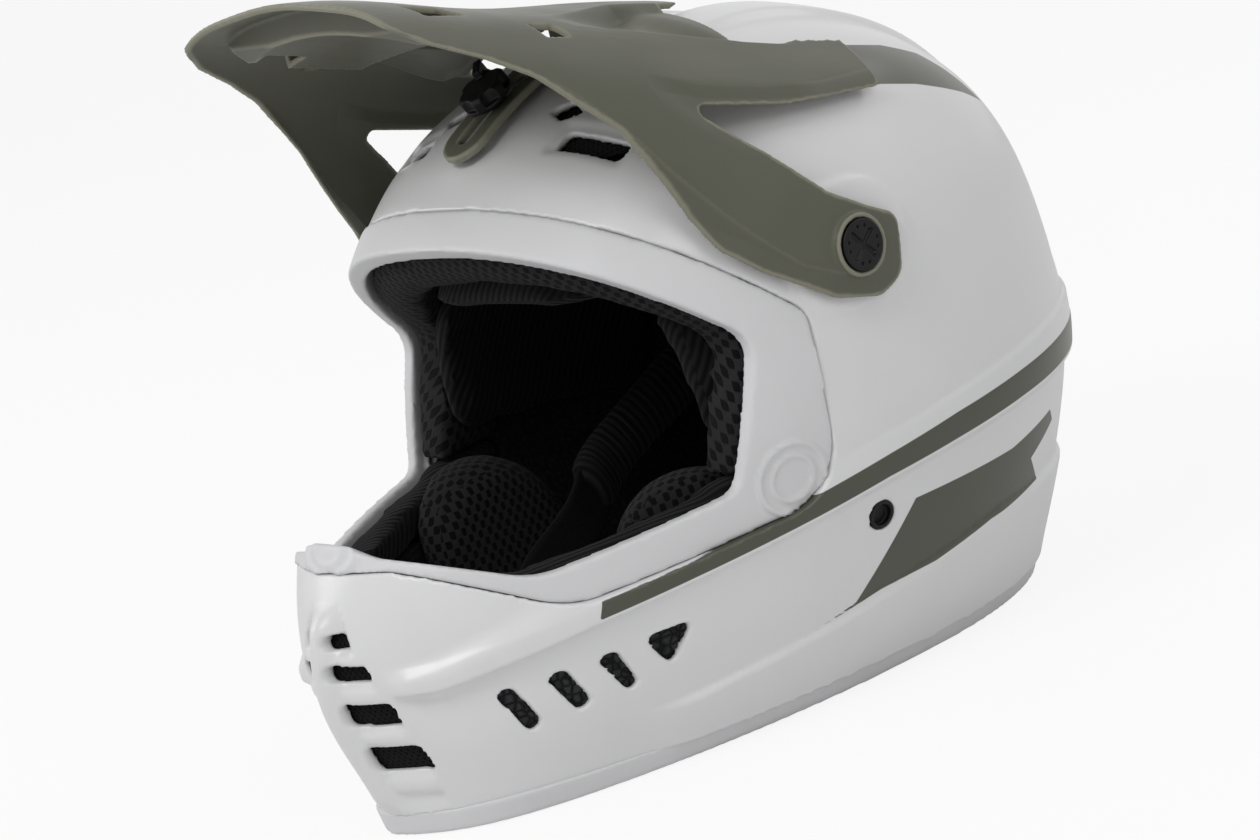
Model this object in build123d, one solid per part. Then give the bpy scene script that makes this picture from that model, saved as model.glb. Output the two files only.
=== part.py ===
from build123d import *
import math
import os

# Full face downhill helmet. Millimetres, +Z up, the face looks along -Y and
# the wearer's left is +X. The helmet stands on its rim, at z = 0.

# Outer surface of the shell, as level sections from the rim to the crown:
# height, front end, rear end, half width, roundness of the front and the rear
shell_levels = [
    (-20, -180, 129, 68, 1.9, 2.2),
    (0, -182, 132, 76, 1.9, 2.2),
    (25, -188, 136, 92, 1.85, 2.2),
    (60, -197, 147, 109, 1.8, 2.2),
    (100, -186, 157, 119, 1.9, 2.25),
    (145, -154, 156, 121, 2.1, 2.25),
    (190, -120, 144, 117, 2.2, 2.2),
    (225, -84, 115, 102, 2.2, 2.1),
    (243, -53, 84, 79, 2.1, 2.0),
    (253, -24, 57, 49, 2.0, 2.0),
]
crown_height = 259
ring_points = 16
crown_y = 18
widest_y = 20
rest_shift = 19.3          # brings the middle of the length to y = 0

# Walls, from the outside in
shell_wall = 3.2
mesh_depth = 5.0
foam_start = 5.4
chin_foam_start = 8.2
foam_depth = 25.0
pad_depth = 34.0
trim_height = 9.5
trim_proud = 0.9
slip = 0.3                 # air between pieces that only lie side by side

# Eyeport, seen from the side: y, z. The opening runs out to the front.
ahead = -260
eyeport_edge = [
    (ahead, 330), (-226, 330), (-110, 206), (-52, 152), (-71, 100), (-142, 91), (-184, 113), (ahead, 113),
]
eyeport_radii = [1, 1, 30, 13, 9, 26, 2, 1]
trim_seam = [
    (ahead, 340), (-208, 340), (-97, 218), (-29, 155), (-32, 87), (-134, 77), (-176, 104), (ahead, 105),
]
trim_radii = [1, 1, 30, 12, 24, 30, 8, 1]

# Proud belt round the shell: its sharp lower crest and its soft upper edge
belt_crest = [
    (-230, 62), (-175, 60), (-126, 69.5), (-91, 74), (-41, 80), (-10, 84), (25, 87), (66, 90), (200, 97),
]
belt_top_height = 118
belt_proud = 4.0
rail_crest = [(-95, 26), (-31, 34), (53, 49), (200, 53)]
rail_proud = 2.4

# Ribs on the crown, from above: inner and outer edge, front and rear end
crown_rib = [(22, -20), (50, -20), (50, 60), (45, 138), (26, 138), (23, 60)]
rib_proud = 3.5
spoiler_half = 46
spoiler_reach = 11

# Vents
side_vents = [
    [(-160, 52), (-153, 54), (-144, 36), (-147, 32), (-155, 32)],
    [(-147, 53), (-139, 57), (-127, 41), (-129, 36), (-138, 34)],
    [(-129, 54), (-121, 58), (-110, 42), (-112, 38), (-119, 38)],
    [(-110, 56), (-90, 59), (-100, 41)],
]
vent_corner = 1.6
chin_vents = [(81, 5, 3.5, 14), (69, 5, 3, 21), (53, 7, 5, 26), (33.5, 9, 6, 26.5)]   # z, tall, from x to x
brow_vents = [[(-66, 230), (-61, 235), (-54, 228), (-60, 223)]]
brow_vent_x = (43, 71)
upper_vent_x = (28, 45)
upper_vent = [(-52, 238), (-48, 242), (-46, 246), (-54, 246)]
port_y, port_z, port_radius = -12, 70, 5.5
rear_vent_x = (14, 38)
rear_vent_z = (140, 150)

# Visor: half sections of its outer skin, from the foot of the arm to the top
visor_sections = [
    (-150, [(80, 150), (85, 240), (84, 280), (70, 297), (36, 306), (0, 309.5)]),
    (-118, [(90, 150), (93, 240), (88, 273), (72, 289), (36, 300), (0, 303)]),
    (-94, [(101, 150), (103, 225), (98, 256), (80, 279), (42, 291), (0, 295)]),
    (-58, [(116, 150), (115, 187), (109, 238), (85, 267), (45, 280), (0, 284)]),
    (-25, [(124.4, 150), (124.2, 183), (111.5, 232), (84, 260), (44, 273), (0, 277)]),
    (10, [(124.6, 150), (124.6, 186), (112, 226), (82, 253), (42, 265), (0, 269)]),
    (45, [(124.6, 150), (124.6, 186), (111, 221), (78, 248), (40, 260), (0, 264)]),
]
visor_wall = 2.6
visor_side = [
    (-143, 335), (-143, 296), (-133, 286), (-117, 276), (-103, 265), (-82, 239), (-58, 187), (-44, 174),
    (-20, 157), (0, 151.5), (13, 156), (18, 178), (4, 185), (-12, 195), (-53, 240),
    (-10, 228), (37, 222), (37, 335),
]
visor_side_radii = [1, 5, 10, 10, 12, 14, 10, 12, 14, 8, 8, 6, 10, 16, 2.5, 40, 3, 1]
finger_half, finger_end = 31, 15
blade_end = [(34, 3), (88, -7)]            # rear edge beside the finger: x, y
wing_inner = (93, 40)
pivot_y, pivot_z = -6, 173
visor_rises = (8, 6.6, 5.2, 3)     # places in the upper part of its travel, in degrees
visor_holes = [(54, 17, -113, 16), (76.5, 10, -81, 10)]          # x, wide, y, long
duct_half, duct_front, duct_rear = 60, -128, -72
duct_depth, duct_wall = 11.0, 2.0
duct_ramp = [(-140, 305), (-128, 291), (-104, 266), (-60, 240), (-60, 340), (-140, 340)]

# Tongue of the visor on the forehead, and the thumb screw through its slot
tongue_half = 12.5
tongue_wall = 2.6
tongue_gap = 2.4
slot_half = 3.3
screw_y, screw_z = -55, 243
screw_lean = 30            # lean of the thumb screw from upright, to the front
shank_radius = 2.5
washer_radius, washer_wall = 8.0, 1.6
washer_seat = 6.7          # underside of the washer, along the thumb screw
knob_radius, knob_wall = 10.5, 6.5
side_screw_radius, side_head_wall = 9.6, 2.0
side_shank_radius = 3.5
arm_face = 127.0           # outside of the visor arm, from the middle
shaft_gap = 0.06
insert_radius = 6.0
insert_depth = 11

# Cheek pad, seen from the side: y, z round its edge, and its layers along X
cheek_edge = [
    (-101, 72), (-92, 100), (-70, 107), (-48, 100), (-33, 82), (-29, 50), (-44, 24), (-80, 24), (-98, 42),
]
cheek_layers = [(51, 0.66), (55, 0.86), (62, 0.97), (74, 1.0), (100, 0.97)]
snap_places = [(-84, 58), (-57, 70), (-57, 42)]
snap_radius, snap_depth = 5.5, 22.0
side_pad_outline = [(-61, 112), (48, 98), (68, 171), (-61, 171)]
rear_pad_front, rear_pad_half = 72, 66
crown_pad_floor = 172

# Rear roll along the neck opening; it leans out with the foam behind it
roll_half, roll_rear, roll_height = 70.5, 111.5, 36
roll_radii = (8.5, 19)
roll_lean = 20
roll_ahead = 4             # degrees past the widest line, at each end

# Chin strap: it lies in one plane that slopes down to the front. Its route is
# in that plane: across, and along the slope, from the ear to the buckle.
slope = 23
slope_y, slope_z = 62, 108
strap_route = [(83, 20), (74, 0), (71, -40), (66, -76), (50, -104), (45, -134), (30, -160)]
strap_wall, strap_width = 2.0, 22
sleeve_route = [(74, -2), (71, -40), (66, -72)]
sleeve_radii = (6.5, 13)
anchor_size = (4, 26, 28)
buckle_size = (34, 9, 25)      # along the strap, thick, wide
ladder_size = (37, 2.4, 15)
ladder_reach = 7               # how far the ladder passes the middle of the case
lever_size = (22, 2.2, 19)
lever_pin_radius = 1.2
lever_eye_radius = 2.6
lever_pivot = (12.4, -2.4)     # along the strap and outwards, from the buckle's middle


def level_ring(height, front, rear, half, n_front, n_rear):
    """One level section: two half superellipses that meet at the widest line."""
    middle = min(max(widest_y, front), rear)
    points = []
    for step in range(ring_points):
        turn = math.tau * step / ring_points
        s, c = math.sin(turn), math.cos(turn)
        n, reach = (n_front, middle - front) if c > 0 else (n_rear, rear - middle)
        x = half * math.copysign(abs(s) ** (2 / n), s)
        y = middle - reach * math.copysign(abs(c) ** (2 / n), c)
        points.append((x, y, height))
    return make_face(Spline(*points, periodic=True))


def shell_body(grow):
    """Closed body inside the shell's surface, moved out by grow (in, if negative)."""
    amount = grow if callable(grow) else lambda height: grow
    rings = []
    for height, front, rear, half, n_front, n_rear in shell_levels:
        g = amount(height)
        lift = height * (crown_height + g) / crown_height if height > 0 else height
        rings.append(level_ring(lift, front - g, rear + g, half + g, n_front, n_rear))
    top = Vertex(0, crown_y, crown_height + amount(crown_height))
    return loft([*rings, top])


def lined(depth):
    """Depth that thins towards the rim, where the foam and pads are thinner."""
    return lambda height: -depth * min(1, 0.55 + max(height, 0) / 220)


def side_prism(points, radius=0.0, half=200):
    """Outline in the side view, pushed out to both sides of the helmet."""
    if radius:
        outline = FilletPolyline(*points, radius=radius, close=True)
    else:
        outline = Polyline(*points, close=True)
    return extrude(make_face(Plane.YZ * outline), amount=half, both=True)


def between_x(solid, low, high):
    """The part of a solid between two places along X, and its mirror image."""
    block = Pos((low + high) / 2, 0, 150) * Box(high - low, 800, 700)
    one = solid & block
    return one, mirror(one, Plane.YZ)


def above(height):
    """Block of everything above a height."""
    return Pos(0, 0, height + 300) * Box(800, 800, 600)


def both_sides(solid):
    """A solid on the wearer's left and its mirror image on the right."""
    return Compound(children=[*solid.solids(), *mirror(solid, Plane.YZ).solids()])


skin = shell_body(0)
foam_inside = shell_body(lined(foam_depth))
seam_cut = side_prism(trim_seam, trim_radii)
edge_cut = side_prism(eyeport_edge, eyeport_radii)


def belt():
    """Proud belt: sharp crest below, running out into the shell above."""
    def swell(height):
        return belt_proud if height <= 60 else belt_proud - 6.5 * (min(height, 145) - 60) / 85
    outline = [*belt_crest, (200, belt_top_height + 12), (-230, belt_top_height + 12)]
    return shell_body(swell) & side_prism(outline)


def rail():
    """Raised lip of the lower panel."""
    outline = [*rail_crest, (200, trim_height), (-95, trim_height)]
    return shell_body(rail_proud) & side_prism(outline, 4)


def crown_ribs(grow=0.0):
    """Two low ribs with a trough between them, ending over the rear."""
    outline = make_face(FilletPolyline(*crown_rib, radius=8, close=True))
    column = extrude(Pos(0, 0, 200) * outline, amount=120)
    return both_sides(shell_body(rib_proud + grow) & column)


def spoiler():
    """Short lip that stands off the rear of the shell."""
    tip = 152 + spoiler_reach
    side = [(128, 192), (146, 184), (tip, 171), (tip - 2, 166), (136, 172)]
    return side_prism(side, 1.5, spoiler_half)


def chin_vent_cuts():
    """Four pairs of slots in the front of the chin bar."""
    cuts = []
    for height, tall, start, end in chin_vents:
        slot = Pos((start + end) / 2, -190, height) * Rot(0, 6, 0) * Box(end - start, 70, tall)
        cuts += [slot, mirror(slot, Plane.YZ)]
    return cuts


def brow_vent_cuts():
    """Two slots on each side of the forehead."""
    low = between_x(side_prism(brow_vents[0], vent_corner), *brow_vent_x)
    high = between_x(side_prism(upper_vent, 1), *upper_vent_x)
    return [*low, *high]


def rear_vent_cuts():
    """Two outlets in the rear of the shell."""
    low, high = rear_vent_z
    wide = rear_vent_x[1] - rear_vent_x[0]
    slot = Pos(sum(rear_vent_x) / 2, 150, (low + high) / 2) * Box(wide, 60, high - low)
    return [slot, mirror(slot, Plane.YZ)]


def across(y, z, radius, low, high):
    """Round bar along X between two places, and its mirror image."""
    bar = Pos((low + high) / 2, y, z) * Rot(0, 90, 0) * Cylinder(radius, high - low)
    return [bar, mirror(bar, Plane.YZ)]


def on_screw(solid):
    """Put a solid from the thumb screw's own axes onto the forehead."""
    return Pos(0, screw_y, screw_z) * Rot(screw_lean, 0, 0) * solid


def bar(radius, low, high):
    """Upright round bar between two heights."""
    return Pos(0, 0, (low + high) / 2) * Cylinder(radius, high - low)


def outer_shell():
    """Rigid outer shell with its belt, ribs, rear lip and openings."""
    shell = skin.fuse(belt(), rail(), *crown_ribs().solids(), spoiler())
    cuts = [shell_body(-shell_wall), seam_cut, Pos(0, 0, trim_height - 100) * Box(800, 800, 200)]
    cuts += [side_prism(points, vent_corner) for points in side_vents]
    cuts += [*chin_vent_cuts(), *brow_vent_cuts(), *rear_vent_cuts()]
    cuts += across(port_y, port_z, port_radius, 80, 140)
    cuts += across(pivot_y, pivot_z, insert_radius, 100, 140)
    cuts.append(on_screw(bar(insert_radius, -20, 20)))
    return shell.cut(*cuts)


def eyeport_trim():
    """Wide moulded frame round the eyeport."""
    return (shell_body(trim_proud) & (seam_cut - edge_cut)) - shell_body(slip - foam_start)


def bottom_trim():
    """Edge moulding under the shell and the foam."""
    slab = Pos(0, 0, trim_height / 2) * Box(800, 800, trim_height)
    return (shell_body(trim_proud) & slab) - shell_body(lined(18))


def on_slope(solid):
    """Put a solid from the chin strap's plane into the helmet."""
    return Pos(0, slope_y, slope_z) * Rot(slope, 0, 0) * solid


def anchor_blocks(inward=0.0):
    """End plates of the chin strap, or their pockets, that start further inward."""
    x, along = strap_route[0]
    thick, long, wide = anchor_size
    place = Pos(x + 1.1, along - 4, 0) * Rot(0, 0, -14) * Pos((thick - inward) / 2, 0, 0)
    block = on_slope(place * Box(thick + inward, long, wide))
    return [block, mirror(block, Plane.YZ)]


def snap_discs():
    """Places of the press studs that hold the cheek pads."""
    return [disc for y, z in snap_places for disc in across(y, z, snap_radius, 40, 120)]


def crown_foam():
    """Foam that lines the shell from the rim to the crown."""
    foam = shell_body(-foam_start) & above(trim_height)
    chin = Pos(0, -240, 60) * Box(400, 400, 130)
    holes = [*across(pivot_y, pivot_z, insert_radius, 90, 140), on_screw(bar(insert_radius, -20, 20))]
    return foam.cut(foam_inside, seam_cut, chin, *holes, *anchor_blocks(2.5))


def chin_foam():
    """Foam inside the chin bar."""
    block = Pos(0, -240.5, 60) * Box(400, 400, 130) & above(trim_height)
    pockets = shell_body(lined(snap_depth))
    studs = [disc & pockets for disc in snap_discs()]
    return (shell_body(-chin_foam_start) & block).cut(foam_inside, seam_cut, *studs)


def snap_studs():
    """Press studs set into the chin foam, three for each cheek pad."""
    layer = shell_body(lined(snap_depth))
    studs = [(disc & layer) - foam_inside for disc in snap_discs()]
    return Compound(children=[solid for stud in studs for solid in stud.solids()])


def thin_sheet(near, far, region):
    """Piece of a layer between two depths under the shell."""
    return (shell_body(-near) & region) - shell_body(-far)


def side_vent_inserts():
    """Bubbled foam blocks behind the side vents."""
    patch = side_prism([(-163, 28), (-84, 36), (-84, 64), (-160, 60)], 3)
    return Compound(children=thin_sheet(shell_wall + slip, chin_foam_start - slip, patch).solids())


def chin_vent_mesh():
    """Mesh behind the slots of the chin bar."""
    return thin_sheet(shell_wall + slip, mesh_depth, Pos(0, -190, 57) * Box(66, 60, 66))


def brow_vent_mesh():
    """Mesh behind the slots of the forehead."""
    region = side_prism([(-76, 224), (-62, 247), (-40, 255), (-40, 224)], 2, 78)
    sheet = thin_sheet(shell_wall + slip, mesh_depth, region)
    return sheet - on_screw(bar(insert_radius + 3, -20, 20))


def rear_vent_mesh():
    """Mesh behind the rear outlets."""
    low, high = rear_vent_z
    region = Pos(0, 150, (low + high) / 2) * Box(2 * rear_vent_x[1] + 10, 60, high - low + 12)
    return thin_sheet(shell_wall + slip, mesh_depth, region)


def edge_layer():
    """Space behind the eyeport frame, down to the comfort lining."""
    return (shell_body(-foam_start) & (seam_cut - edge_cut)) - shell_body(lined(foam_depth - slip))


def brow_pad():
    """Spacer fabric pad along the brow and the temples."""
    return edge_layer() & (Pos(0, 0, 204) * Box(400, 260, 200))


def chin_liner():
    """Soft cover on top of the chin bar's foam."""
    return edge_layer() - (Pos(0, 0, 204) * Box(400, 260 + 2 * slip, 200 + 2 * slip))


def crown_pad():
    """Knitted pad inside the crown."""
    dome = shell_body(lined(foam_depth + slip)) & above(crown_pad_floor)
    return dome.cut(shell_body(lined(pad_depth)), Pos(0, -200, 200) * Box(400, 230, 200))


def side_pad():
    """Knitted pad over one temple and ear, and its mirror image."""
    layer = shell_body(lined(foam_depth + slip)) & side_prism(side_pad_outline, 14)
    return between_x(layer - shell_body(lined(pad_depth)), 30, 140)


def rear_pad():
    """Knitted pad at the back of the head."""
    region = Pos(0, rear_pad_front + 70, 134) * Box(2 * rear_pad_half, 140, 72)
    return (shell_body(lined(foam_depth + slip)) & region) - shell_body(lined(pad_depth))


def cheek_pad():
    """Crowned cheek pad, and its mirror image."""
    mid_y = sum(y for y, z in cheek_edge) / len(cheek_edge)
    mid_z = sum(z for y, z in cheek_edge) / len(cheek_edge)
    layers = []
    for x, scale in cheek_layers:
        ring = [(x, mid_y + scale * (y - mid_y), mid_z + scale * (z - mid_z)) for y, z in cheek_edge]
        layers.append(make_face(Spline(*ring, periodic=True)))
    pad = loft(layers) & shell_body(lined(foam_depth + slip))
    return pad, mirror(pad, Plane.YZ)


def neck_roll():
    """Padded roll along the rear of the neck opening."""
    middle = (0, widest_y, roll_height)
    sweep_angle = 180 - 2 * roll_ahead
    path = EllipticalCenterArc(middle, roll_half, roll_rear - widest_y, roll_ahead, arc_size=sweep_angle)
    start = Plane(origin=path @ 0, x_dir=(1, 0, 0), z_dir=path % 0)
    return sweep(start * Rot(0, 0, roll_lean) * Ellipse(*roll_radii), path=path)


def visor_body(inset):
    """Closed body under the visor's outer skin, moved in by inset."""
    faces = []
    for y, half in visor_sections:
        x_low, z_low = half[0]
        points = []
        before, after = [half[0], *half], [*half[1:], (-half[-2][0], half[-2][1])]
        for (xa, za), (x, z), (xb, zb) in zip(before, half, after):
            run = math.hypot(xb - xa, zb - za)
            points.append((x - inset * (zb - za) / run, z + inset * (xb - xa) / run))
        points[-1] = (0, points[-1][1])
        whole = points + [(-x, z) for x, z in reversed(points[:-1])]
        outline = [Spline(*whole), Line(whole[-1], whole[0])]
        faces.append(Plane(origin=(0, y, 0), x_dir=(1, 0, 0), z_dir=(0, -1, 0)) * make_face(outline))
    return loft(faces)


def rounded_slot(start, end, half, low, high):
    """Upright slab with round ends along Y."""
    middle = Pos(0, (start + end) / 2, (low + high) / 2) * Box(2 * half, end - start - 2 * half, high - low)
    ends = [Pos(0, y, 0) * bar(half, low, high) for y in (start + half, end - half)]
    return middle.fuse(*ends)


def tongue():
    """Slotted tongue that lies over the forehead."""
    strip = on_screw(rounded_slot(-30, 70, tongue_half, -30, 40))
    return (shell_body(tongue_gap + tongue_wall) & strip) - shell_body(tongue_gap)


def duct():
    """Air duct under the peak, closed at its front and open to the rear."""
    long = duct_rear - duct_front
    block = Pos(0, (duct_front + duct_rear) / 2, 280) * Box(2 * duct_half, long, 120)
    room = Pos(0, (duct_front + duct_rear) / 2 + 4, 280)
    hollow = room * Box(2 * (duct_half - duct_wall), long, 120)
    shape = (visor_body(1) & block & side_prism(duct_ramp)) - visor_body(duct_depth + duct_wall)
    lifted = Pos(0, 2.4, 2.4) * side_prism(duct_ramp)
    return shape - ((hollow & lifted) - visor_body(duct_depth))


def raised(solid, rise):
    """Where a solid of the shell lies for the visor when its front has tilted up."""
    return Pos(0, pivot_y, pivot_z) * Rot(rise, 0, 0) * Pos(0, -pivot_y, -pivot_z) * solid


def visor():
    """Peak with its two arms, two wings, middle finger, duct and tongue."""
    outside = visor_body(0)
    blade = (outside & side_prism(visor_side, visor_side_radii)) - visor_body(visor_wall)
    half = [(finger_half, finger_end), *blade_end, wing_inner, (95, 60)]
    column = Polyline(*[(-x, y) for x, y in reversed(half)], *half, close=True)
    notch = extrude(Pos(0, 0, 190) * make_face(column), amount=150)
    bridge = (Pos(0, -5, 262) * Box(2 * tongue_half, 22, 26) & outside) - shell_body(tongue_gap)
    tongue_strip = (tongue() & outside)
    collar = [ring - hole for ring, hole in zip(
        across(pivot_y, pivot_z, side_screw_radius + 2.2, arm_face - 1, arm_face + 1.6),
        across(pivot_y, pivot_z, side_screw_radius + 0.5, arm_face - 2, arm_face + 3))]
    whole = (blade - notch).fuse(bridge, tongue_strip, duct(), *collar)
    slot = on_screw(rounded_slot(-22.5, 17.5, slot_half, -30, 14))
    holes = across(pivot_y, pivot_z, side_shank_radius + shaft_gap, 100, 140)
    for x, wide, y, long in visor_holes:
        hole = Pos(x, y, 295) * Box(wide, long, 60)
        holes += [hole, mirror(hole, Plane.YZ)]
    crown = [shell_body(slip), *crown_ribs(slip).solids()]
    passed = [raised(solid, rise) for rise in visor_rises for solid in crown]
    return whole.cut(slot, *holes, *passed)


def clamp_washer():
    """Round plate between the thumb screw and the tongue."""
    plate = bar(washer_radius, washer_seat, washer_seat + washer_wall)
    return on_screw(plate - bar(shank_radius + shaft_gap, washer_seat - 1, washer_seat + 5))


def centre_screw():
    """Thumb screw: a fluted knob with one long wing, and its shank."""
    low = washer_seat + washer_wall + 0.1
    knob = bar(knob_radius, low, low + knob_wall)
    flute = Pos(knob_radius + 2.5, 0, 0) * bar(4.6, low + 1.6, low + 20)
    flutes = [Rot(0, 0, 30 + 60 * i) * flute for i in range(6)]
    wing = Rot(0, 0, -50) * Pos(-9.5, 0, low + knob_wall / 2 + 1.5) * Box(9, 3.2, knob_wall + 3)
    knob = chamfer(knob.edges().sort_by(Axis.Z)[-1], 1.2).cut(*flutes).fuse(wing)
    return on_screw(knob.fuse(bar(shank_radius, -9, low + 1)))


def centre_insert():
    """Threaded insert of the thumb screw, in the shell."""
    plug = on_screw(bar(insert_radius, -insert_depth, 8) - bar(shank_radius + shaft_gap, -30, 30))
    return plug & shell_body(-0.3)


def side_screw():
    """Screw of one visor arm, and its mirror image."""
    low = arm_face + 0.1
    head = across(pivot_y, pivot_z, side_screw_radius, low, low + side_head_wall)
    shank = across(pivot_y, pivot_z, side_shank_radius, arm_face - 13, low + 0.5)
    face = Pos(low + side_head_wall, pivot_y, pivot_z)
    cross = [face * Rot(turn, 0, 0) * Box(1.6, 1.8, 13) for turn in (45, 135)]
    left = (head[0] + shank[0]).cut(*cross)
    return left, mirror(left, Plane.YZ)


def side_insert():
    """Threaded insert of one visor screw, and its mirror image."""
    plug = across(pivot_y, pivot_z, insert_radius, arm_face - 15, arm_face)[0]
    hole = across(pivot_y, pivot_z, side_shank_radius + shaft_gap, 90, 140)[0]
    left = (plug - hole) & shell_body(0)
    return left, mirror(left, Plane.YZ)


def side_port_plugs():
    """Recessed black plugs in the round holes of the shell."""
    plug, core = across(port_y, port_z, port_radius, 80, 140)[0], across(port_y, port_z, 4.0, 80, 140)[0]
    body = (shell_body(-0.2) & plug) - shell_body(slip - foam_start)
    return both_sides(body - (core - shell_body(-3)))


def strap():
    """Webbing from one ear to the buckle, and from the other to the ladder."""
    route = Spline(*strap_route, tangents=[(-0.4, -1), (-1, 0)])
    lead = Line(strap_route[-1], (0, strap_route[-1][1]))
    band = extrude(trace([route, lead], line_width=strap_wall), amount=strap_width / 2, both=True)
    left_stop = Pos(0, strap_route[-1][1], 0) * Box(buckle_size[0], 20, 60)
    right_stop = Pos(0, strap_route[-1][1], 0) * Box(2 * (ladder_size[0] - ladder_reach), 20, 60)
    return on_slope(band - left_stop), on_slope(mirror(band - right_stop, Plane.YZ))


def strap_sleeve():
    """Knitted padded sleeve round the strap at the ear, and its mirror image."""
    path = Spline(*sleeve_route)
    thick, tall = sleeve_radii
    section = Plane(origin=path @ 0, x_dir=(0, 0, 1), z_dir=path % 0) * Ellipse(tall, thick)
    route = Spline(*strap_route, tangents=[(-0.4, -1), (-1, 0)])
    core = extrude(trace([route], line_width=strap_wall + 0.1), amount=strap_width / 2 + 0.05, both=True)
    left = on_slope(sweep(section, path=path) - core)
    return left, mirror(left, Plane.YZ)


def strap_anchors():
    """End plates of the chin strap."""
    return Compound(children=anchor_blocks())


def in_buckle(solid):
    """Put a solid from the middle of the buckle into the helmet."""
    return on_slope(Pos(0, strap_route[-1][1], 0) * solid)


def buckle_housing():
    """Ratchet buckle: a case that takes the ladder and holds the lever."""
    long, thick, wide = buckle_size
    case = fillet(Box(long, thick, wide).edges().filter_by(Axis.Y), 4)
    channel = Pos(-6, 0, 0) * Box(long, ladder_size[1] + 0.3, ladder_size[2] + 0.3)
    seat = Pos(3, -thick / 2 + 1.4, 0) * Box(long - 4, 3.0, lever_size[2] + 0.5)
    room = Pos(*lever_pivot, 0) * Cylinder(lever_eye_radius + slip, lever_size[2] + 0.5)
    pin = Pos(*lever_pivot, 0) * Cylinder(lever_pin_radius, wide + 4)
    return in_buckle(case.cut(channel, seat, room, pin))


def ladder():
    """Toothed tongue that slides into the buckle."""
    long, thick, wide = ladder_size
    blade = Pos(ladder_reach - long / 2, 0, 0) * Box(long, thick, wide)
    teeth = [Pos(2.6 * i - 28, -thick / 2, 0) * Rot(0, 0, 45) * Box(1.3, 1.3, wide - 4) for i in range(5)]
    return in_buckle(blade.cut(*teeth))


def release_lever():
    """Lever that frees the ladder: it lies in the case and turns on the pin."""
    long, thick, wide = lever_size
    turn_x, y = lever_pivot
    plate = Pos(turn_x - long / 2, y - 0.7, 0) * Box(long, thick, wide)
    eye = Pos(turn_x, y, 0) * Cylinder(lever_eye_radius, wide)
    tab = Pos(turn_x - long + 1.5, y - 1.8, 0) * Box(3, thick, wide)
    hole = Pos(turn_x, y, 0) * Cylinder(lever_pin_radius + shaft_gap, wide + 4)
    return in_buckle(plate.fuse(eye, tab) - hole)


def lever_pin():
    """Pin of the release lever, across the case."""
    return in_buckle(Pos(*lever_pivot, 0) * Cylinder(lever_pin_radius, buckle_size[2]))


builders = {
    "outer_shell": outer_shell,
    "eyeport_trim": eyeport_trim,
    "bottom_trim": bottom_trim,
    "crown_foam": crown_foam,
    "chin_foam": chin_foam,
    "side_vent_inserts": side_vent_inserts,
    "chin_vent_mesh": chin_vent_mesh,
    "brow_vent_mesh": brow_vent_mesh,
    "rear_vent_mesh": rear_vent_mesh,
    "brow_pad": brow_pad,
    "chin_liner": chin_liner,
    "crown_pad": crown_pad,
    "side_pad": side_pad,
    "rear_pad": rear_pad,
    "cheek_pad": cheek_pad,
    "neck_roll": neck_roll,
    "visor": visor,
    "clamp_washer": clamp_washer,
    "centre_screw": centre_screw,
    "centre_insert": centre_insert,
    "side_screw": side_screw,
    "side_insert": side_insert,
    "side_port_plugs": side_port_plugs,
    "snap_studs": snap_studs,
    "strap": strap,
    "strap_sleeve": strap_sleeve,
    "strap_anchors": strap_anchors,
    "buckle_housing": buckle_housing,
    "ladder": ladder,
    "release_lever": release_lever,
    "lever_pin": lever_pin,
}


def write(name, solid):
    """Shift a piece onto the helmet's origin and write it."""
    export_step(Pos(0, rest_shift, 0) * solid, f"parts/{name}.step")
    print(name, len(solid.solids()), round(solid.volume))


os.makedirs("parts", exist_ok=True)
for name, build in builders.items():
    made = build()
    if isinstance(made, tuple):
        write(name + "_left", made[0])
        write(name + "_right", made[1])
    else:
        write(name, made)
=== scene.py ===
import math
import bpy
import bmesh
import numpy as np
from mathutils import Matrix, Vector
from mathutils.bvhtree import BVHTree


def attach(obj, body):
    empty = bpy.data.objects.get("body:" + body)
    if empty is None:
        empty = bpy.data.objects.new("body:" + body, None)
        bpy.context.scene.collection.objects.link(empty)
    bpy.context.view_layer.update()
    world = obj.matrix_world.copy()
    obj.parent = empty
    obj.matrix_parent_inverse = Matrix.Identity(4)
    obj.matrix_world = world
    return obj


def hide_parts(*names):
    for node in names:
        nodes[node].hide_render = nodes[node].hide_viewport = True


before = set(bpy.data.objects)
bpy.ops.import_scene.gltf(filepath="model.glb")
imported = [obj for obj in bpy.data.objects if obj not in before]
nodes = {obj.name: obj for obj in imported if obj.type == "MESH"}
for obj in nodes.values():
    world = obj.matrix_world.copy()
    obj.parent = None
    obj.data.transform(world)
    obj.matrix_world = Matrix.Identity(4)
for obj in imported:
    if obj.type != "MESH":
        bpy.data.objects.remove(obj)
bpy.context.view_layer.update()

scene = bpy.context.scene

# Sizes below are in millimetres on the helmet's own drawing, where the face
# looks along -Y and the wearer's left is +X; "rearShift" puts the drawing on the frame.
rearShift = 19.3
mm = 0.001


def place(x, y, z):
    return Vector((x, y + rearShift, z)) * mm


def placeAll(points):
    return (np.asarray(points, float) + (0, rearShift, 0)) * mm


def drawingOf(mesh):
    # the vertices of a mesh, back on the drawing
    flat = np.empty(len(mesh.vertices) * 3, np.float64)
    mesh.vertices.foreach_get("co", flat)
    return flat.reshape(-1, 3) / mm - (0, rearShift, 0)


def putBack(mesh, points):
    mesh.vertices.foreach_set("co", placeAll(points).ravel())
    mesh.update()


def softStep(value, low, high):
    t = np.clip((value - low) / (high - low), 0, 1)
    return t * t * (3 - 2 * t)


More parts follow.
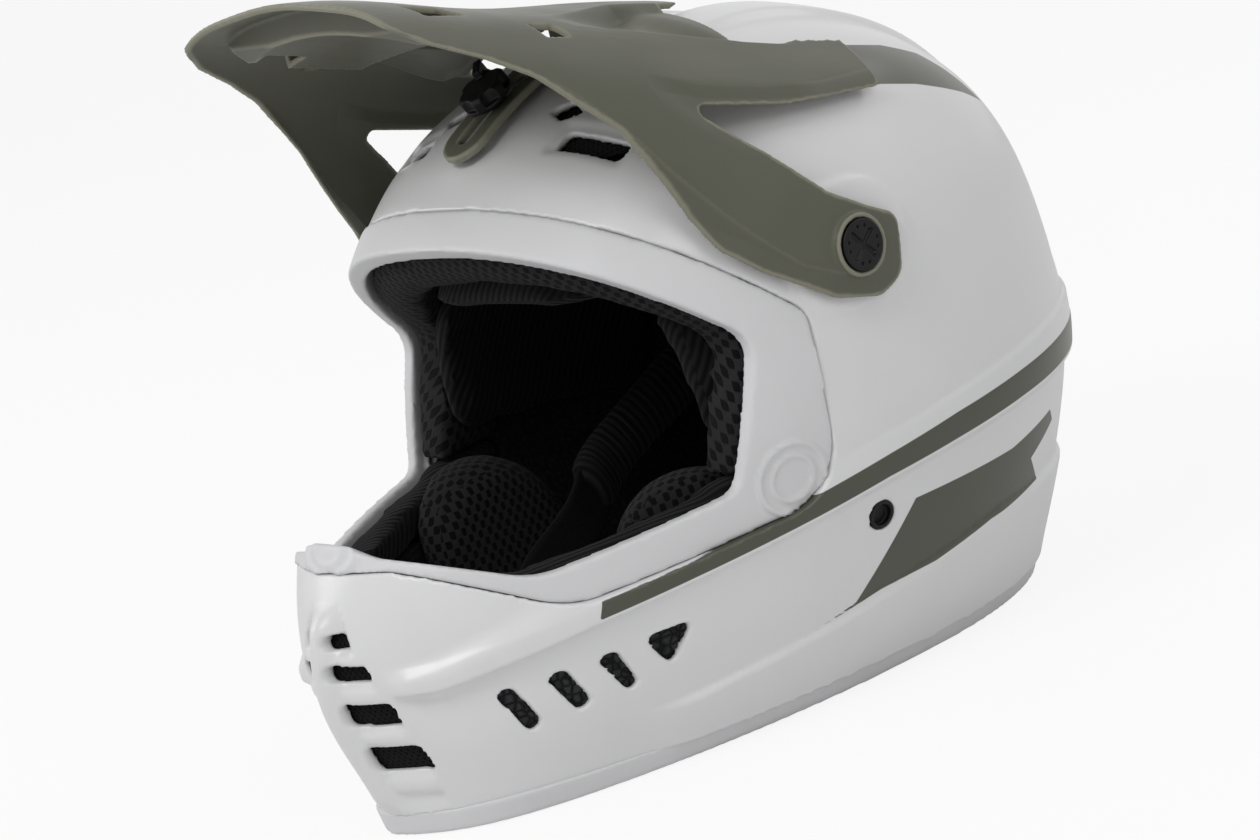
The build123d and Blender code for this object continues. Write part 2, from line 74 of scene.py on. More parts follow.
def makeMesh(name, points, faces, smooth=True):
    mesh = bpy.data.meshes.new(name)
    mesh.from_pydata([tuple(p) for p in placeAll(points)], [], [tuple(int(i) for i in f) for f in faces])
    mesh.validate()
    mesh.update()
    for polygon in mesh.polygons:
        polygon.use_smooth = smooth
    piece = bpy.data.objects.new(name, mesh)
    scene.collection.objects.link(piece)
    return piece


def applied(piece):
    # freeze a piece's modifiers into its mesh
    graph = bpy.context.evaluated_depsgraph_get()
    mesh = bpy.data.meshes.new_from_object(piece.evaluated_get(graph))
    piece.modifiers.clear()
    old = piece.data
    piece.data = mesh
    bpy.data.meshes.remove(old)
    return piece


def copyOf(name, *sources):
    # a new piece from the solids of one or more nodes
    joined = bmesh.new()
    for source in sources:
        joined.from_mesh(nodes[source].data)
    bmesh.ops.remove_doubles(joined, verts=joined.verts, dist=1e-6)
    mesh = bpy.data.meshes.new(name)
    joined.to_mesh(mesh)
    joined.free()
    piece = bpy.data.objects.new(name, mesh)
    scene.collection.objects.link(piece)
    return piece


def softened(piece, voxel, rounds, factor=0.5):
    # remesh evenly and round the edges over, as moulding does
    remesh = piece.modifiers.new("even", "REMESH")
    remesh.mode = "VOXEL"
    remesh.voxel_size = voxel * mm
    remesh.use_smooth_shade = True
    if rounds:
        smooth = piece.modifiers.new("round", "SMOOTH")
        smooth.factor = factor
        smooth.iterations = rounds
    return applied(piece)


def shadeSmooth(piece):
    for polygon in piece.data.polygons:
        polygon.use_smooth = True
    return piece


# finishes
def newFinish(name):
    material = bpy.data.materials.new(name)
    material.use_nodes = True
    return material, material.node_tree, material.node_tree.nodes["Principled BSDF"]


def addNode(tree, kind, inputs=None, **settings):
    node = tree.nodes.new(kind)
    for key, value in settings.items():
        setattr(node, key, value)
    for key, value in (inputs or {}).items():
        socket = node.inputs[key]
        if isinstance(value, bpy.types.NodeSocket):
            tree.links.new(value, socket)
        else:
            socket.default_value = value
    return node


def objectSpot(tree, scale=(1, 1, 1)):
    spot = addNode(tree, "ShaderNodeTexCoord")
    return addNode(tree, "ShaderNodeMapping", {"Vector": spot.outputs["Object"], "Scale": scale}).outputs[0]


def laidSpot(tree, scale=(1, 1, 1), turn=0.0):
    spot = addNode(tree, "ShaderNodeTexCoord")
    inputs = {"Vector": spot.outputs["UV"], "Scale": scale, "Rotation": (0, 0, math.radians(turn))}
    return addNode(tree, "ShaderNodeMapping", inputs).outputs[0]


def cloudy(tree, scale, detail=3.0, vector=None):
    inputs = {"Vector": vector or objectSpot(tree), "Scale": scale, "Detail": detail}
    return addNode(tree, "ShaderNodeTexNoise", inputs).outputs["Fac"]


def ranged(tree, value, low, high, toLow, toHigh):
    inputs = {"Value": value, "From Min": low, "From Max": high, "To Min": toLow, "To Max": toHigh}
    return addNode(tree, "ShaderNodeMapRange", inputs, clamp=True).outputs[0]


def blended(tree, factor, first, second):
    mix = addNode(tree, "ShaderNodeMix", data_type="RGBA")
    for socket, value in ((mix.inputs[0], factor), (mix.inputs[6], first), (mix.inputs[7], second)):
        if isinstance(value, bpy.types.NodeSocket):
            tree.links.new(value, socket)
        else:
            socket.default_value = value if not isinstance(value, tuple) else (*value, 1)
    return mix.outputs[2]


def maths(tree, operation, first, second=0.0):
    node = addNode(tree, "ShaderNodeMath", operation=operation)
    for socket, value in zip(node.inputs, (first, second)):
        if isinstance(value, bpy.types.NodeSocket):
            tree.links.new(value, socket)
        else:
            socket.default_value = value
    return node.outputs[0]


def bumped(tree, shader, height, strength, depth, under=None):
    inputs = {"Height": height, "Strength": strength, "Distance": depth * mm}
    if under:
        inputs["Normal"] = under
    normal = addNode(tree, "ShaderNodeBump", inputs).outputs[0]
    tree.links.new(normal, shader.inputs["Normal"])
    return normal


def plasticFinish(name, look):
    # moulded or painted plastic: two close tones, uneven gloss, a fine skin and, where a look gives one, a painted
    # highlight on turned edges
    material, tree, shader = newFinish(name)
    tone = blended(tree, ranged(tree, cloudy(tree, look["patch"]), 0.35, 0.65, 0, 1), look["dark"], look["light"])
    if "paint" in look:
        field = addNode(tree, "ShaderNodeAttribute", attribute_name="paintEdge").outputs["Fac"]
        coat = blended(tree, cloudy(tree, look["patch"]), look["paint"][0], look["paint"][1])
        tone = blended(tree, ranged(tree, field, -0.12, 0.12, 0, 1), tone, coat)
        varnish = ranged(tree, field, -0.12, 0.12, look["coat"], look["paintCoat"])
        tree.links.new(varnish, shader.inputs["Coat Weight"])
    if "rim" in look:      # painted highlight, paler where the moulding turns over an edge
        edge = addNode(tree, "ShaderNodeAttribute", attribute_name="edgeHighlight").outputs["Fac"]
        tone = blended(tree, edge, tone, look["rim"])
    tree.links.new(tone, shader.inputs["Base Color"])
    rough = ranged(tree, cloudy(tree, look["patch"] * 2.5), 0.3, 0.7, *look["rough"])
    tree.links.new(rough, shader.inputs["Roughness"])
    shader.inputs["Coat Weight"].default_value = look.get("coat", 0.0)
    shader.inputs["Coat Roughness"].default_value = look.get("coatRough", 0.05)
    shader.inputs["Specular IOR Level"].default_value = look.get("gloss", 0.5)
    bumped(tree, shader, cloudy(tree, look["grain"], 2.0), look["grainStrength"], 0.05)
    return material


def clothFinish(name, look):
    # knit, mesh or webbing drawn on the piece's own lay (its UV, in metres)
    material, tree, shader = newFinish(name)
    kind = look["weave"]
    spot = laidSpot(tree, (1, 1, 1), look.get("turn", 0))
    if kind == "mesh":
        # staggered oval holes: the peaks of one cosine times another
        waves = []
        parts = addNode(tree, "ShaderNodeSeparateXYZ", {0: spot}).outputs
        for part, size in ((parts[0], look["size"]), (parts[1], look["size"] * look.get("long", 1.7))):
            waves.append(maths(tree, "COSINE", maths(tree, "MULTIPLY", part, math.pi / (size * mm))))
        wave = maths(tree, "MULTIPLY", *waves)
        height = ranged(tree, wave, look.get("hole", 0.12), look.get("edge", 0.42), 1.0, 0.0)
    elif kind == "rib":
        inputs = {"Vector": spot, "Scale": 1.0 / (look["size"] * mm) / 20 * math.pi, "Distortion": 0.6, "Detail": 1.5}
        height = addNode(tree, "ShaderNodeTexWave", inputs, wave_type="BANDS", bands_direction="X").outputs["Fac"]
    else:
        size = look["size"] * mm
        inputs = {"Vector": spot, "Scale": 1.0, "Mortar Size": size * 0.16, "Mortar Smooth": 1.0, "Bias": 0.0,
                  "Brick Width": size * 2.0, "Row Height": size, "Color1": (1, 1, 1, 1), "Color2": (1, 1, 1, 1),
                  "Mortar": (0, 0, 0, 1)}
        brick = addNode(tree, "ShaderNodeTexBrick", inputs, offset=0.5, squash=1.0)
        height = maths(tree, "SUBTRACT", 1.0, brick.outputs["Fac"])
    fuzz = cloudy(tree, 2600, 2.0)
    tone = blended(tree, height, look["deep"], look["thread"])
    tone = blended(tree, ranged(tree, cloudy(tree, 45), 0.3, 0.7, 0, 0.35), tone, look["worn"])
    tree.links.new(tone, shader.inputs["Base Color"])
    tree.links.new(ranged(tree, fuzz, 0.2, 0.8, 0.82, 1.0), shader.inputs["Roughness"])
    shader.inputs["Specular IOR Level"].default_value = 0.08
    shader.inputs["Sheen Weight"].default_value = look.get("sheen", 0.03)
    shader.inputs["Sheen Roughness"].default_value = 0.55
    whole = maths(tree, "ADD", height, maths(tree, "MULTIPLY", fuzz, 0.35))
    bumped(tree, shader, whole, 0.9, look["depth"])
    return material


def cellFinish(name, look):
    # beaded or bubbled foam
    material, tree, shader = newFinish(name)
    inputs = {"Vector": objectSpot(tree), "Scale": 1000 / look["size"], "Randomness": look.get("random", 0.9)}
    cell = addNode(tree, "ShaderNodeTexVoronoi", inputs, feature="DISTANCE_TO_EDGE").outputs["Distance"]
    height = ranged(tree, cell, 0.0, look.get("rim", 0.35), *look.get("slope", (0.0, 1.0)))
    tone = blended(tree, height, look["deep"], look["thread"])
    tree.links.new(tone, shader.inputs["Base Color"])
    tree.links.new(ranged(tree, cloudy(tree, 300), 0.3, 0.7, 0.7, 0.9), shader.inputs["Roughness"])
    shader.inputs["Specular IOR Level"].default_value = 0.15
    bumped(tree, shader, height, 0.7, look["depth"])
    return material


def metalFinish(name, look):
    material, tree, shader = newFinish(name)
    tone = blended(tree, cloudy(tree, 120), look["dark"], look["light"])
    tree.links.new(tone, shader.inputs["Base Color"])
    shader.inputs["Metallic"].default_value = 1.0
    brushed = cloudy(tree, 60, 4.0, objectSpot(tree, (1, 14, 14)))
    tree.links.new(ranged(tree, brushed, 0.3, 0.7, *look["rough"]), shader.inputs["Roughness"])
    bumped(tree, shader, brushed, 0.2, 0.03)
    return material


print("finishes")
looks = {
    "shell": {"dark": (0.635, 0.635, 0.64), "light": (0.67, 0.67, 0.675), "patch": 9, "rough": (0.30, 0.36),
              "coat": 0.22, "paintCoat": 0.05, "coatRough": 0.22, "grain": 420, "grainStrength": 0.03,
              "paint": ((0.054, 0.057, 0.039), (0.062, 0.065, 0.045))},
    "trim": {"dark": (0.585, 0.585, 0.595), "light": (0.62, 0.62, 0.63), "patch": 14, "rough": (0.42, 0.52),
             "grain": 1500, "grainStrength": 0.12},
    # the visor's rim tone is a painted highlight, laid on its turned edges and creases
    "visor": {"dark": (0.094, 0.096, 0.072), "light": (0.106, 0.108, 0.083), "patch": 12, "rough": (0.36, 0.46),
              "gloss": 0.2, "grain": 1800, "grainStrength": 0.10, "rim": (0.21, 0.207, 0.158)},
    "black": {"dark": (0.0035, 0.0035, 0.004), "light": (0.0065, 0.0065, 0.007), "patch": 60, "rough": (0.34, 0.5),
              "grain": 1600, "grainStrength": 0.15, "gloss": 0.22},
}
shellFinish = plasticFinish("glossyShell", looks["shell"])
trimFinish = plasticFinish("satinTrim", looks["trim"])
visorFinish = plasticFinish("olivePeak", looks["visor"])
blackFinish = plasticFinish("blackNylon", looks["black"])
beadFinish = cellFinish("beadFoam", {"size": 3.2, "deep": (0.003, 0.003, 0.003), "thread": (0.013, 0.013, 0.014),
                                     "depth": 0.35, "rim": 0.3})
bubbleFinish = cellFinish("bubbleFoam", {"size": 3.6, "deep": (0.002, 0.002, 0.002), "thread": (0.030, 0.031, 0.033),
                                         "depth": 1.4, "rim": 0.22, "random": 0.6})
steelFinish = metalFinish("turnedSteel", {
    "dark": (0.45, 0.45, 0.46), "light": (0.60, 0.60, 0.61), "rough": (0.25, 0.4)})
brassFinish = metalFinish("turnedBrass", {
    "dark": (0.50, 0.36, 0.14), "light": (0.65, 0.48, 0.22), "rough": (0.25, 0.4)})
clothLooks = {
    "spacer": {"weave": "mesh", "size": 2.3, "long": 1.5, "deep": (0.0006, 0.0006, 0.0006), "hole": 0.0, "edge": 0.26,
               "thread": (0.021, 0.021, 0.0225), "worn": (0.012, 0.012, 0.013), "depth": 0.9},
    "knit": {"weave": "rib", "size": 1.6, "turn": 32, "deep": (0.0015, 0.0015, 0.0015),
             "thread": (0.011, 0.011, 0.0125), "worn": (0.0065, 0.0065, 0.0075), "depth": 0.4},
    "ribbedRoll": {"weave": "rib", "size": 1.8, "turn": 0, "deep": (0.003, 0.003, 0.003),
                   "thread": (0.026, 0.026, 0.0285), "worn": (0.018, 0.018, 0.020), "depth": 0.5},
    "webbing": {"weave": "weave", "size": 1.1, "deep": (0.0015, 0.0015, 0.0015), "thread": (0.011, 0.011, 0.012),
                "worn": (0.008, 0.008, 0.009), "depth": 0.35},
    "ventMesh": {"weave": "mesh", "size": 1.2, "long": 1.3, "deep": (0.0005, 0.0005, 0.0005),
                 "thread": (0.008, 0.008, 0.009), "worn": (0.005, 0.005, 0.005), "depth": 0.5},
}
cloths = {name: clothFinish(name + "Cloth", look) for name, look in clothLooks.items()}


def dress(piece, finish, slotName, *sources, body="helmet"):
    # finish a piece, hide the nodes it replaces and attach it to the body it moves with
    piece.data.materials.clear()
    piece.data.materials.append(finish)
    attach(piece, body)
    if sources:
        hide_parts(*sources)
    return piece


# camera and studio
view = {"turn": 53.377, "rise": 11.658, "roll": -14.385, "away": 1405.711, "target": (0, -20, 130),
        "lens": 102.566, "shift": (-0.01129, -0.04295)}


def setCamera():
    turn, rise, roll = (math.radians(view[key]) for key in ("turn", "rise", "roll"))
    back = Vector((math.sin(turn) * math.cos(rise), -math.cos(turn) * math.cos(rise), math.sin(rise)))
    right = Vector((math.cos(turn), math.sin(turn), 0))
    up = back.cross(right)
    c, s = math.cos(roll), math.sin(roll)
    matrix = Matrix((c * right + s * up, -s * right + c * up, back)).transposed().to_4x4()
    matrix.translation = place(*view["target"]) + back * view["away"] * mm
    data = bpy.data.cameras.new("photoCamera")
    data.sensor_width = 36
    data.lens = view["lens"]
    data.shift_x, data.shift_y = view["shift"]
    data.clip_start = 0.05
    camera = bpy.data.objects.new("photoCamera", data)
    camera.matrix_world = matrix
    scene.collection.objects.link(camera)
    scene.camera = camera


studio = {
    "world": 0.50,
    "lamps": [   # from, aimed at, size, watts
        ((0.45, -1.8, 1.9), (0, 0, 0.15), 1.1, 19),
        ((2.1, -0.5, 1.6), (0, 0, 0.12), 1.2, 9),
        ((-1.7, -1.2, 1.0), (0, 0, 0.15), 1.2, 7),
        ((0.3, 1.9, 1.8), (0, 0, 0.15), 1.2, 5),
    ],
    "floor": (0.90, 0.90, 0.90), "floorGlow": 0.86,
}


def setStudio():
    for start, aim, size, watts in studio["lamps"]:
        data = bpy.data.lights.new("softbox", "AREA")
        data.shape = "RECTANGLE"
        data.size, data.size_y = size, size * 0.7
        data.energy = watts
        lamp = bpy.data.objects.new("softbox", data)
        lamp.location = start
        lamp.rotation_euler = (Vector(aim) - Vector(start)).to_track_quat("-Z", "Y").to_euler()
        scene.collection.objects.link(lamp)
    world = bpy.data.worlds.new("studio")
    world.use_nodes = True
    tree = world.node_tree
    ground = tree.nodes["Background"]
    ground.inputs["Strength"].default_value = 1.0
    path = addNode(tree, "ShaderNodeLightPath").outputs
    seen = maths(tree, "MAXIMUM", path["Is Camera Ray"], path["Is Glossy Ray"])
    seen = maths(tree, "MAXIMUM", seen, path["Is Transmission Ray"])
    level = studio["world"]
    tree.links.new(blended(tree, seen, (level, level, level), (1.0, 1.0, 1.0)), ground.inputs["Color"])
    scene.world = world
    scene.view_settings.view_transform = "Standard"
    floor = makeMesh("floor", [(-9000, -9000, -0.5), (9000, -9000, -0.5), (9000, 9000, -0.5), (-9000, 9000, -0.5)],
                     [(0, 1, 2, 3)])
    material, tree, shader = newFinish("paleFloor")
    low = studio["floor"]
    tone = blended(tree, cloudy(tree, 3.0), tuple(c * 0.985 for c in low), low)
    tree.links.new(tone, shader.inputs["Base Color"])
    shader.inputs["Roughness"].default_value = 0.75
    shader.inputs["Specular IOR Level"].default_value = 0.2
    # to the camera the floor is near white, and it keeps the shadow
    glow = addNode(tree, "ShaderNodeEmission", {"Color": (1, 1, 1, 1), "Strength": 1.0}).outputs[0]
    seen = addNode(tree, "ShaderNodeLightPath").outputs["Is Camera Ray"]
    share = maths(tree, "MULTIPLY", seen, studio["floorGlow"])
    mixed = addNode(tree, "ShaderNodeMixShader", {0: share, 1: shader.outputs[0], 2: glow}).outputs[0]
    tree.links.new(mixed, tree.nodes["Material Output"].inputs["Surface"])
    floor.data.materials.append(material)


setCamera()
setStudio()
print("camera and studio")


# the shell's outer surface
shellForm = {
    "levels": [   # height, front end, rear end, half width, roundness of front and rear
        (-20, -180, 129, 68, 1.9, 2.2), (0, -182, 132, 76, 1.9, 2.2), (25, -188, 136, 92, 1.85, 2.2),
        (60, -197, 147, 109, 1.8, 2.2), (100, -186, 157, 119, 1.9, 2.25), (145, -154, 156, 121, 2.1, 2.25),
        (190, -120, 144, 117, 2.2, 2.2), (225, -84, 115, 102, 2.2, 2.1), (243, -53, 84, 79, 2.1, 2.0),
        (253, -24, 57, 49, 2.0, 2.0)],
    "crown": (18, 259), "widestY": 20, "columns": 440, "wall": 3.2, "foot": 8.0,
    # feature lines round the shell: y, z
    "rail": [(-95, 26), (-31, 34), (53, 49), (200, 53)],
    "crest": [(-230, 62), (-175, 60), (-126, 69.5), (-91, 74), (-41, 80), (-10, 84), (25, 87), (66, 90), (200, 97)],
    "stripeTop": [(-175, 69), (-125, 77), (-90, 81), (-40, 89), (-9, 93.3), (26, 97.6), (67, 101), (157, 107)],
    "beltTop": [(-175, 79), (-120, 86), (-60, 94), (-37, 97), (-2, 101), (26, 104.5), (54, 107.5), (97, 112),
                (157, 118)],
    "lip": [(-230, 168), (200, 168)],
    # lower side panel: how deep, and where it starts; the belt: how high along y, and where its nose ends
    "panel": {"deep": 2.4, "start": (-112, -88)},
    "beltHeight": [(-184, 4.0), (-126, 3.9), (-60, 3.3), (51, 2.9), (157, 3.2)],
    "beltStep": [(-90, 0.0), (-30, 0.5), (24, 0.9), (97, 1.6), (157, 2.2)],
    "beltLean": [(-120, 0.45), (-37, 0.40), (97, 0.15), (157, 0.08)],
    "beltReach": [(-184, 0.12), (-150, 0.3), (-105, 0.75), (-60, 1.0)],
    "beltFade": [(-184, 9), (-150, 13), (-90, 32), (0, 26), (157, 14)],
    "dish": [(-184, 1.5), (-130, 0.6), (-60, 0.3), (-10, 0.0)],
    "tip": (24, 34), "side": (12, 30),
    # the two ribs over the crown, the lip above the nape and the boss under the arm's screw
    "ribs": {"high": 3.5, "inner": [(-20, 22), (60, 23), (138, 27)], "outer": [(60, 50), (138, 45)],
             "soft": 3.5, "start": -16, "end": 134, "fade": 8, "above": 180},
    "rearLip": {"high": 9.5, "half": (38, 50), "under": 27, "power": 1.3},
    "boss": {"high": 1.6, "radius": (21, 25), "run": (-10, 2), "z": 173},
    # front of the chin bar: how deep the panel lies, its cross bars (height, half height) and its nose
    "louvre": {"deep": 2.4, "bar": 2.6, "bars": [(75.2, 4.2), (61.2, 6.0), (43.0, 5.4), (22.0, 6.5)],
               "nose": 6.4, "spine": (0.5, 11.5), "droop": 0.07, "span": (12, 90, 6),
               "half": [(10, 23), (28, 25.5), (47, 24.5), (66, 21), (82, 13), (95, 8)]},
    # dished edge of the forehead intakes, from above: x, y
    "hood": {"outline": [(41, -67), (42, -58), (72, -52.5), (70, -61)], "deep": 1.3, "soft": 4.0},
}


def throughKnots(t, values, at):
    # one natural cubic through the knots, for all columns at once
    count, gaps = len(t), np.diff(t)
    system = np.zeros((count, count))
    system[0, 0] = system[-1, -1] = 1
    right = np.zeros_like(values)
    for i in range(1, count - 1):
        system[i, i - 1:i + 2] = gaps[i - 1], 2 * (gaps[i - 1] + gaps[i]), gaps[i]
        right[i] = 6 * ((values[i + 1] - values[i]) / gaps[i] - (values[i] - values[i - 1]) / gaps[i - 1])
    bend = np.linalg.solve(system, right.reshape(count, -1)).reshape(values.shape)
    k = np.clip(np.searchsorted(t, at) - 1, 0, count - 2)
    shape = (-1,) + (1,) * (values.ndim - 1)
    step = gaps[k].reshape(shape)
    b = ((at - t[k]) / gaps[k]).reshape(shape)
    a = 1 - b
    return a * values[k] + b * values[k + 1] + ((a ** 3 - a) * bend[k] + (b ** 3 - b) * bend[k + 1]) * step ** 2 / 6


def shellField():
    # the smooth outer surface, sampled finely: [along the profile, round the head, xyz]
    form = shellForm
    turn = np.arange(form["columns"]) * math.tau / form["columns"]
    s, c = np.sin(turn), np.cos(turn)
    rows = []
    for height, front, rear, half, nFront, nRear in form["levels"]:
        n = np.where(c > 0, nFront, nRear)
        reach = np.where(c > 0, form["widestY"] - front, rear - form["widestY"])
        x = half * np.sign(s) * np.abs(s) ** (2 / n)
        y = form["widestY"] - reach * np.sign(c) * np.abs(c) ** (2 / n)
        rows.append(np.stack((x, y, np.full_like(x, height)), 1))
    top = np.tile((0.0, *form["crown"]), (len(turn), 1))
    half = len(turn) // 2
    knots = np.array([*rows, top, np.roll(rows[-1], half, 0), np.roll(rows[-2], half, 0)])
    chord = np.linalg.norm(np.diff(knots, axis=0), axis=2).mean(1)
    t = np.concatenate(([0], np.cumsum(chord)))
    along = np.linspace(0, t[len(rows)], 900)
    surface = throughKnots(t, knots, along)
    slopeT = np.gradient(surface, along, axis=0)
    slopeR = np.roll(surface, -1, 1) - np.roll(surface, 1, 1)
    normal = np.cross(slopeR, slopeT)
    size = np.linalg.norm(normal, axis=2, keepdims=True)
    normal = np.where(size > 1e-6, normal / np.maximum(size, 1e-9), (0, 0, 1))
    return along, surface, normal


along, surface, surfaceNormal = shellField()


def interpolated(knots, at):
    return np.interp(at, *zip(*knots))


def lineHeight(name, y):
    return interpolated(shellForm[name], y)


def crossing(name):
    # where each column of the surface meets a feature line
    gap = surface[:, :, 2] - lineHeight(name, surface[:, :, 1])
    return np.array([np.interp(0, gap[:, k], along) for k in range(gap.shape[1])])


def sampled(field, at):
    # values of a fine field at other places along each column
    low = np.clip(np.searchsorted(along, at) - 1, 0, len(along) - 2)
    part = (at - along[low]) / (along[low + 1] - along[low])
    column = np.arange(field.shape[1])
    return field[low, column] * (1 - part)[..., None] + field[low + 1, column] * part[..., None]


def shellRows():
    # rows of the mesh, drawn along the rail, the belt and the rear lip
    lines = {name: crossing(name) for name in ("rail", "crest", "stripeTop", "beltTop", "lip")}
    foot = np.array([np.interp(shellForm["foot"], surface[:, k, 2], along) for k in range(surface.shape[1])])
    marks = [foot]
    plan = [("rail", (-1.0, 0.0, 1.4), 9), ("crest", (-2.6, -1.2, -0.4, 0.3), 13), ("stripeTop", (-0.9, 0.0, 0.9), 5),
            ("beltTop", (-1.2, 0.0, 1.2), 6), ("lip", (-2.5, -1.0, 1.0, 3.0), 30)]
    for name, offsets, between in plan:
        start, end = marks[-1], lines[name] + offsets[0]
        marks += [start + (end - start) * k / between for k in range(1, between)]
        marks += [lines[name] + offset for offset in offsets]
    start, end = marks[-1], np.full_like(foot, along[-1] - 5)
    marks += [start + (end - start) * k / 100 for k in range(1, 101)]
    return np.array(marks), lines


def ridge(value, low, high, soft):
    return softStep(value, low - soft, low + soft) * (1 - softStep(value, high - soft, high + soft))


def beltRelief(x, y, at, lines):
    # the belt stands up from a sharp lower edge, leans back and fades out above; the shell is dished under it
    form = shellForm
    crest, top = lines["crest"], lines["beltTop"]
    front = 1 - softStep(x, *form["side"])
    rise = softStep(at, crest - 2.4 - 12 * front, crest + 0.2 + 6 * front)
    facet = 1 - 0.10 * softStep(at, lines["stripeTop"] - 1.0, lines["stripeTop"] + 1.0)
    lean = 1 - interpolated(form["beltLean"], y) * softStep(at, lines["stripeTop"], top)
    high = (top - crest) * interpolated(form["beltReach"], y)
    fade = 1 - softStep(at, crest + high + 1, crest + high + interpolated(form["beltFade"], y))
    step = interpolated(form["beltStep"], y) * softStep(at, top - 1.0, top + 1.0)
    tip = np.where(y < -100, softStep(x, *form["tip"]), 1)
    belt = np.maximum(interpolated(form["beltHeight"], y) * rise * facet * lean - step, 0) * fade * tip
    hollow = softStep(at, crest - 30, crest - 8) * (1 - softStep(at, crest - 5, crest - 1.2))
    return belt - interpolated(form["dish"], y) * tip * hollow


def rearRelief(x, y, z, at, lines):
    # crown ribs, the lip above the nape and the boss under the arm
    ribs, lip, boss = (shellForm[name] for name in ("ribs", "rearLip", "boss"))
    high = ribs["high"] * ridge(x, interpolated(ribs["inner"], y), interpolated(ribs["outer"], y), ribs["soft"])
    high = high * ridge(y, ribs["start"], ribs["end"], ribs["fade"]) * (z > ribs["above"])
    edge = np.where(y > 60, 1, 0) * lip["high"] * (1 - softStep(x, *lip["half"]))
    edge = edge * softStep(at, lines["lip"] - 2.6, lines["lip"] + 1.0)
    edge = edge * (1 - softStep(at, lines["lip"] + 1, lines["lip"] + lip["under"])) ** lip["power"]
    away = np.hypot(y - np.clip(y, *boss["run"]), z - boss["z"])
    return high + edge + boss["high"] * (1 - softStep(away, *boss["radius"])) * (x > 60)


def frontRelief(x, y, z):
    # sunk panel of the chin bar with its cross bars and nose, and the dished forehead intakes
    louvre, hood = shellForm["louvre"], shellForm["hood"]
    half = interpolated(louvre["half"], z)
    inFront = (1 - softStep(x, half - 0.9, half + 0.9)) * (y < -120) * ridge(z, *louvre["span"])
    bars = sum(softStep(1 - np.abs(z - middle + louvre["droop"] * x) / reach, 0, 0.8)
               for middle, reach in louvre["bars"])
    spine = 1 - softStep(x, *louvre["spine"])
    sunk = inFront * (np.maximum(bars * louvre["bar"], spine * louvre["nose"]) - louvre["deep"])
    outside = softStep(-insideOutline(hood["outline"], x, y), 0.3, hood["soft"])
    return sunk - hood["deep"] * (1 - outside) * (z > 205)


def shellRelief(points, at, lines):
    # how far each vertex stands off the smooth surface
    x, y, z = np.abs(points[..., 0]), points[..., 1], points[..., 2]
    panel = shellForm["panel"]
    lower = 1 - softStep(at, lines["rail"] - 0.8, lines["rail"] + 1.2)
    lower = panel["deep"] * softStep(y, *panel["start"]) * lower
    return lower + beltRelief(x, y, at, lines) + rearRelief(x, y, z, at, lines) + frontRelief(x, y, z)


def facing(piece):
    work = bmesh.new()
    work.from_mesh(piece.data)
    bmesh.ops.recalc_face_normals(work, faces=work.faces)
    work.to_mesh(piece.data)
    work.free()
    return piece


def roundedOutline(points, radii, steps=8):
    # a closed outline with its corners rounded
    result = []
    count = len(points)
    for i, (corner, radius) in enumerate(zip(points, radii)):
        corner = Vector(corner)
        before, after = Vector(points[i - 1]), Vector(points[(i + 1) % count])
        a, b = (before - corner).normalized(), (after - corner).normalized()
        half = a.angle(b) / 2
        if radius <= 0 or half > math.radians(89.5):
            result.append(tuple(corner))
            continue
        reach = min(radius / math.tan(half), 0.49 * (before - corner).length, 0.49 * (after - corner).length)
        radius = reach * math.tan(half)
        middle = corner + (a + b).normalized() * radius / math.sin(half)
        start, end = (corner + a * reach - middle).normalized(), (corner + b * reach - middle).normalized()
        result += [tuple(middle + start.slerp(end, k / steps).normalized() * radius) for k in range(steps + 1)]
    return result


def prism(name, outline, low, high, axis="x"):
    # an outline seen along one axis, pushed along that axis
    count = len(outline)
    turned = {"x": lambda p, d: (d, *p), "y": lambda p, d: (p[0], d, p[1]), "z": lambda p, d: (*p, d)}[axis]
    points = [turned(p, d) for d in (low, high) for p in outline]
    faces = [list(range(count))[::-1], list(range(count, 2 * count))]
    faces += [(i, (i + 1) % count, (i + 1) % count + count, i + count) for i in range(count)]
    piece = makeMesh(name, points, faces)
    return facing(piece)


def roundBar(name, centre, direction, radius, low, high, sides=32):
    turn = Vector(direction).normalized().to_track_quat("Z", "Y")
    ring = [Vector((radius * math.cos(k * math.tau / sides), radius * math.sin(k * math.tau / sides), 0))
            for k in range(sides)]
    points = [tuple(Vector(centre) + turn @ (p + Vector((0, 0, d)))) for d in (low, high) for p in ring]
    faces = [list(range(sides))[::-1], list(range(sides, 2 * sides))]
    faces += [(i, (i + 1) % sides, (i + 1) % sides + sides, i + sides) for i in range(sides)]
    return makeMesh(name, points, faces)


def squareCut(corners, radius, sign, depth=9):
    # a hole with four corners on the surface, straight through it
    corners = [Vector((sign * x, y, z)) for x, y, z in corners]
    middle = sum(corners, Vector()) / 4
    u = (corners[2] - corners[1]).normalized()
    out = u.cross(corners[1] - corners[0]).normalized()
    out = out if out.z > 0 else -out
    v = out.cross(u)
    shape = roundedOutline([((c - middle).dot(u), (c - middle).dot(v)) for c in corners], [radius] * 4, 4)
    count = len(shape)
    points = [tuple(middle + u * a + v * b + out * d) for d in (-depth, depth) for a, b in shape]
    faces = [list(range(count))[::-1], list(range(count, 2 * count))]
    faces += [(i, (i + 1) % count, (i + 1) % count + count, i + count) for i in range(count)]
    return facing(makeMesh("vent", points, faces))


